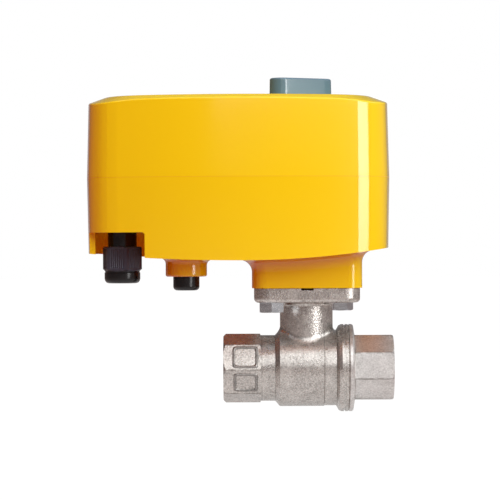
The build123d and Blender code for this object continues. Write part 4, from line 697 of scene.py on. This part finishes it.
def lights():
    for lamp in lamps:
        turn, rise = math.radians(lamp["turn"]), math.radians(lamp["rise"])
        data = bpy.data.lights.new(lamp["name"], "AREA")
        data.shape = "RECTANGLE"
        data.size, data.size_y = lamp["size"]
        data.energy = lamp["glow"] * math.pi * data.size * data.size_y
        away = np.array([math.sin(turn) * math.cos(rise), -math.cos(turn) * math.cos(rise), math.sin(rise)])
        box = addThing(lamp["name"], data)
        box.location = np.array(lampTarget) + lamp["reach"] * away
        box.rotation_euler = (math.pi / 2 - rise, 0, turn)


# bounce is the colour that the floor lends to the undersides; mirrors see the floor pale up to mirrorNear
# from the origin, and not beyond mirrorFar
ground = dict(
    drop=0.3 * mm, size=8.0, tone=(0.42, 0.42, 0.41), bounce=(0.36, 0.05, 0.02),
    shade=0.12, glow=1.13, mirrorNear=0.06, mirrorFar=0.20, mirrorShare=0.70,
)


def floor():
    # Pale ground under the valve: eyes and mirrors see it almost white, with a trace of the shadow kept
    graph = Graph(bpy.data.materials.new("paleGround"))
    seen, glossy, through, scattered = graph.split(
        "ShaderNodeLightPath", {}, "Is Camera Ray", "Is Glossy Ray", "Is Transmission Ray", "Is Diffuse Ray",
    )
    away = graph.add("ShaderNodeVectorMath", {"operation": "LENGTH"}, {0: graph.place}, "Value")
    near = 1.0 - graph.ramp(away, ground["mirrorNear"], ground["mirrorFar"])
    pale = graph.maths("MINIMUM", seen + (glossy + through) * near * ground["mirrorShare"], 1.0)
    tone = graph.blend(scattered, ground["tone"], ground["bounce"])
    matt = graph.add("ShaderNodeBsdfDiffuse", {}, {"Color": tone})
    white = graph.add("ShaderNodeEmission", {}, {"Color": (1, 1, 1, 1), "Strength": ground["glow"]})
    shader = graph.add("ShaderNodeMixShader", {}, {0: pale * (1.0 - ground["shade"]), 1: matt, 2: white})
    graph.add("ShaderNodeOutputMaterial", {}, {"Surface": shader})
    half, level = ground["size"] / 2, cadBox[0][2] - ground["drop"]
    corners = [(-half, -half, level), (half, -half, level), (half, half, level), (-half, half, level)]
    mesh = bpy.data.meshes.new("paleFloor")
    mesh.from_pydata(corners, [], [(0, 1, 2, 3)])
    mesh.materials.append(graph.owner)
    addThing("paleFloor", mesh)


# What mirrors and what matt surfaces see of the room: a base level, and for each direction where its
# share begins, where it is whole and how strong it is. The matt light is tinted, most from the left
studio = dict(
    mirrored=dict(base=0.08, right=(0.25, 0.95, 0.30), left=(0.3, 0.8, 0.03), above=(0.1, 0.9, 0.12),
                  behind=(0.93, 0.99, 0.30)),
    matt=dict(base=0.08, left=(0.0, 0.8, 0.28), behind=(0.2, 0.9, 0.95), front=(0.3, 0.9, 0.24),
              above=(0.2, 0.9, 0.26)),
    tint=(1.0, 0.20, 0.05), tintLeft=(0.0, 0.8), tintShare=0.12,
)


def room():
    # Camera rays see plain white, and the light comes from a room with its own level in each direction
    world = bpy.data.worlds.new("studioRoom")
    bpy.context.scene.world = world
    graph = Graph(world, "Generated")
    side, depth, up = graph.axes()
    ways = dict(right=side, left=-1.0 * side, behind=depth, front=-1.0 * depth, above=up)
    seen, glossy, through = graph.split(
        "ShaderNodeLightPath", {}, "Is Camera Ray", "Is Glossy Ray", "Is Transmission Ray",
    )

    def level(look):
        total = look["base"]
        for way, facing in ways.items():
            if way in look:
                low, high, strength = look[way]
                total = total + graph.ramp(facing, low, high) * strength
        return total

    scattered = 1.0 - seen - glossy - through
    toLeft = graph.ramp(ways["left"], *studio["tintLeft"])
    tinted = scattered * (studio["tintShare"] + toLeft * (1.0 - studio["tintShare"]))
    sockets = {
        "Color": graph.blend(tinted, (1.0, 1.0, 1.0), studio["tint"]),
        "Strength": seen + through + level(studio["mirrored"]) * glossy + level(studio["matt"]) * scattered,
    }
    glow = graph.add("ShaderNodeBackground", {}, sockets)
    graph.add("ShaderNodeOutputWorld", {}, {"Surface": glow})


camera()
lights()
floor()
room()
bpy.context.scene.view_settings.view_transform = "Standard"
print("camera, lamps, floor and room set")
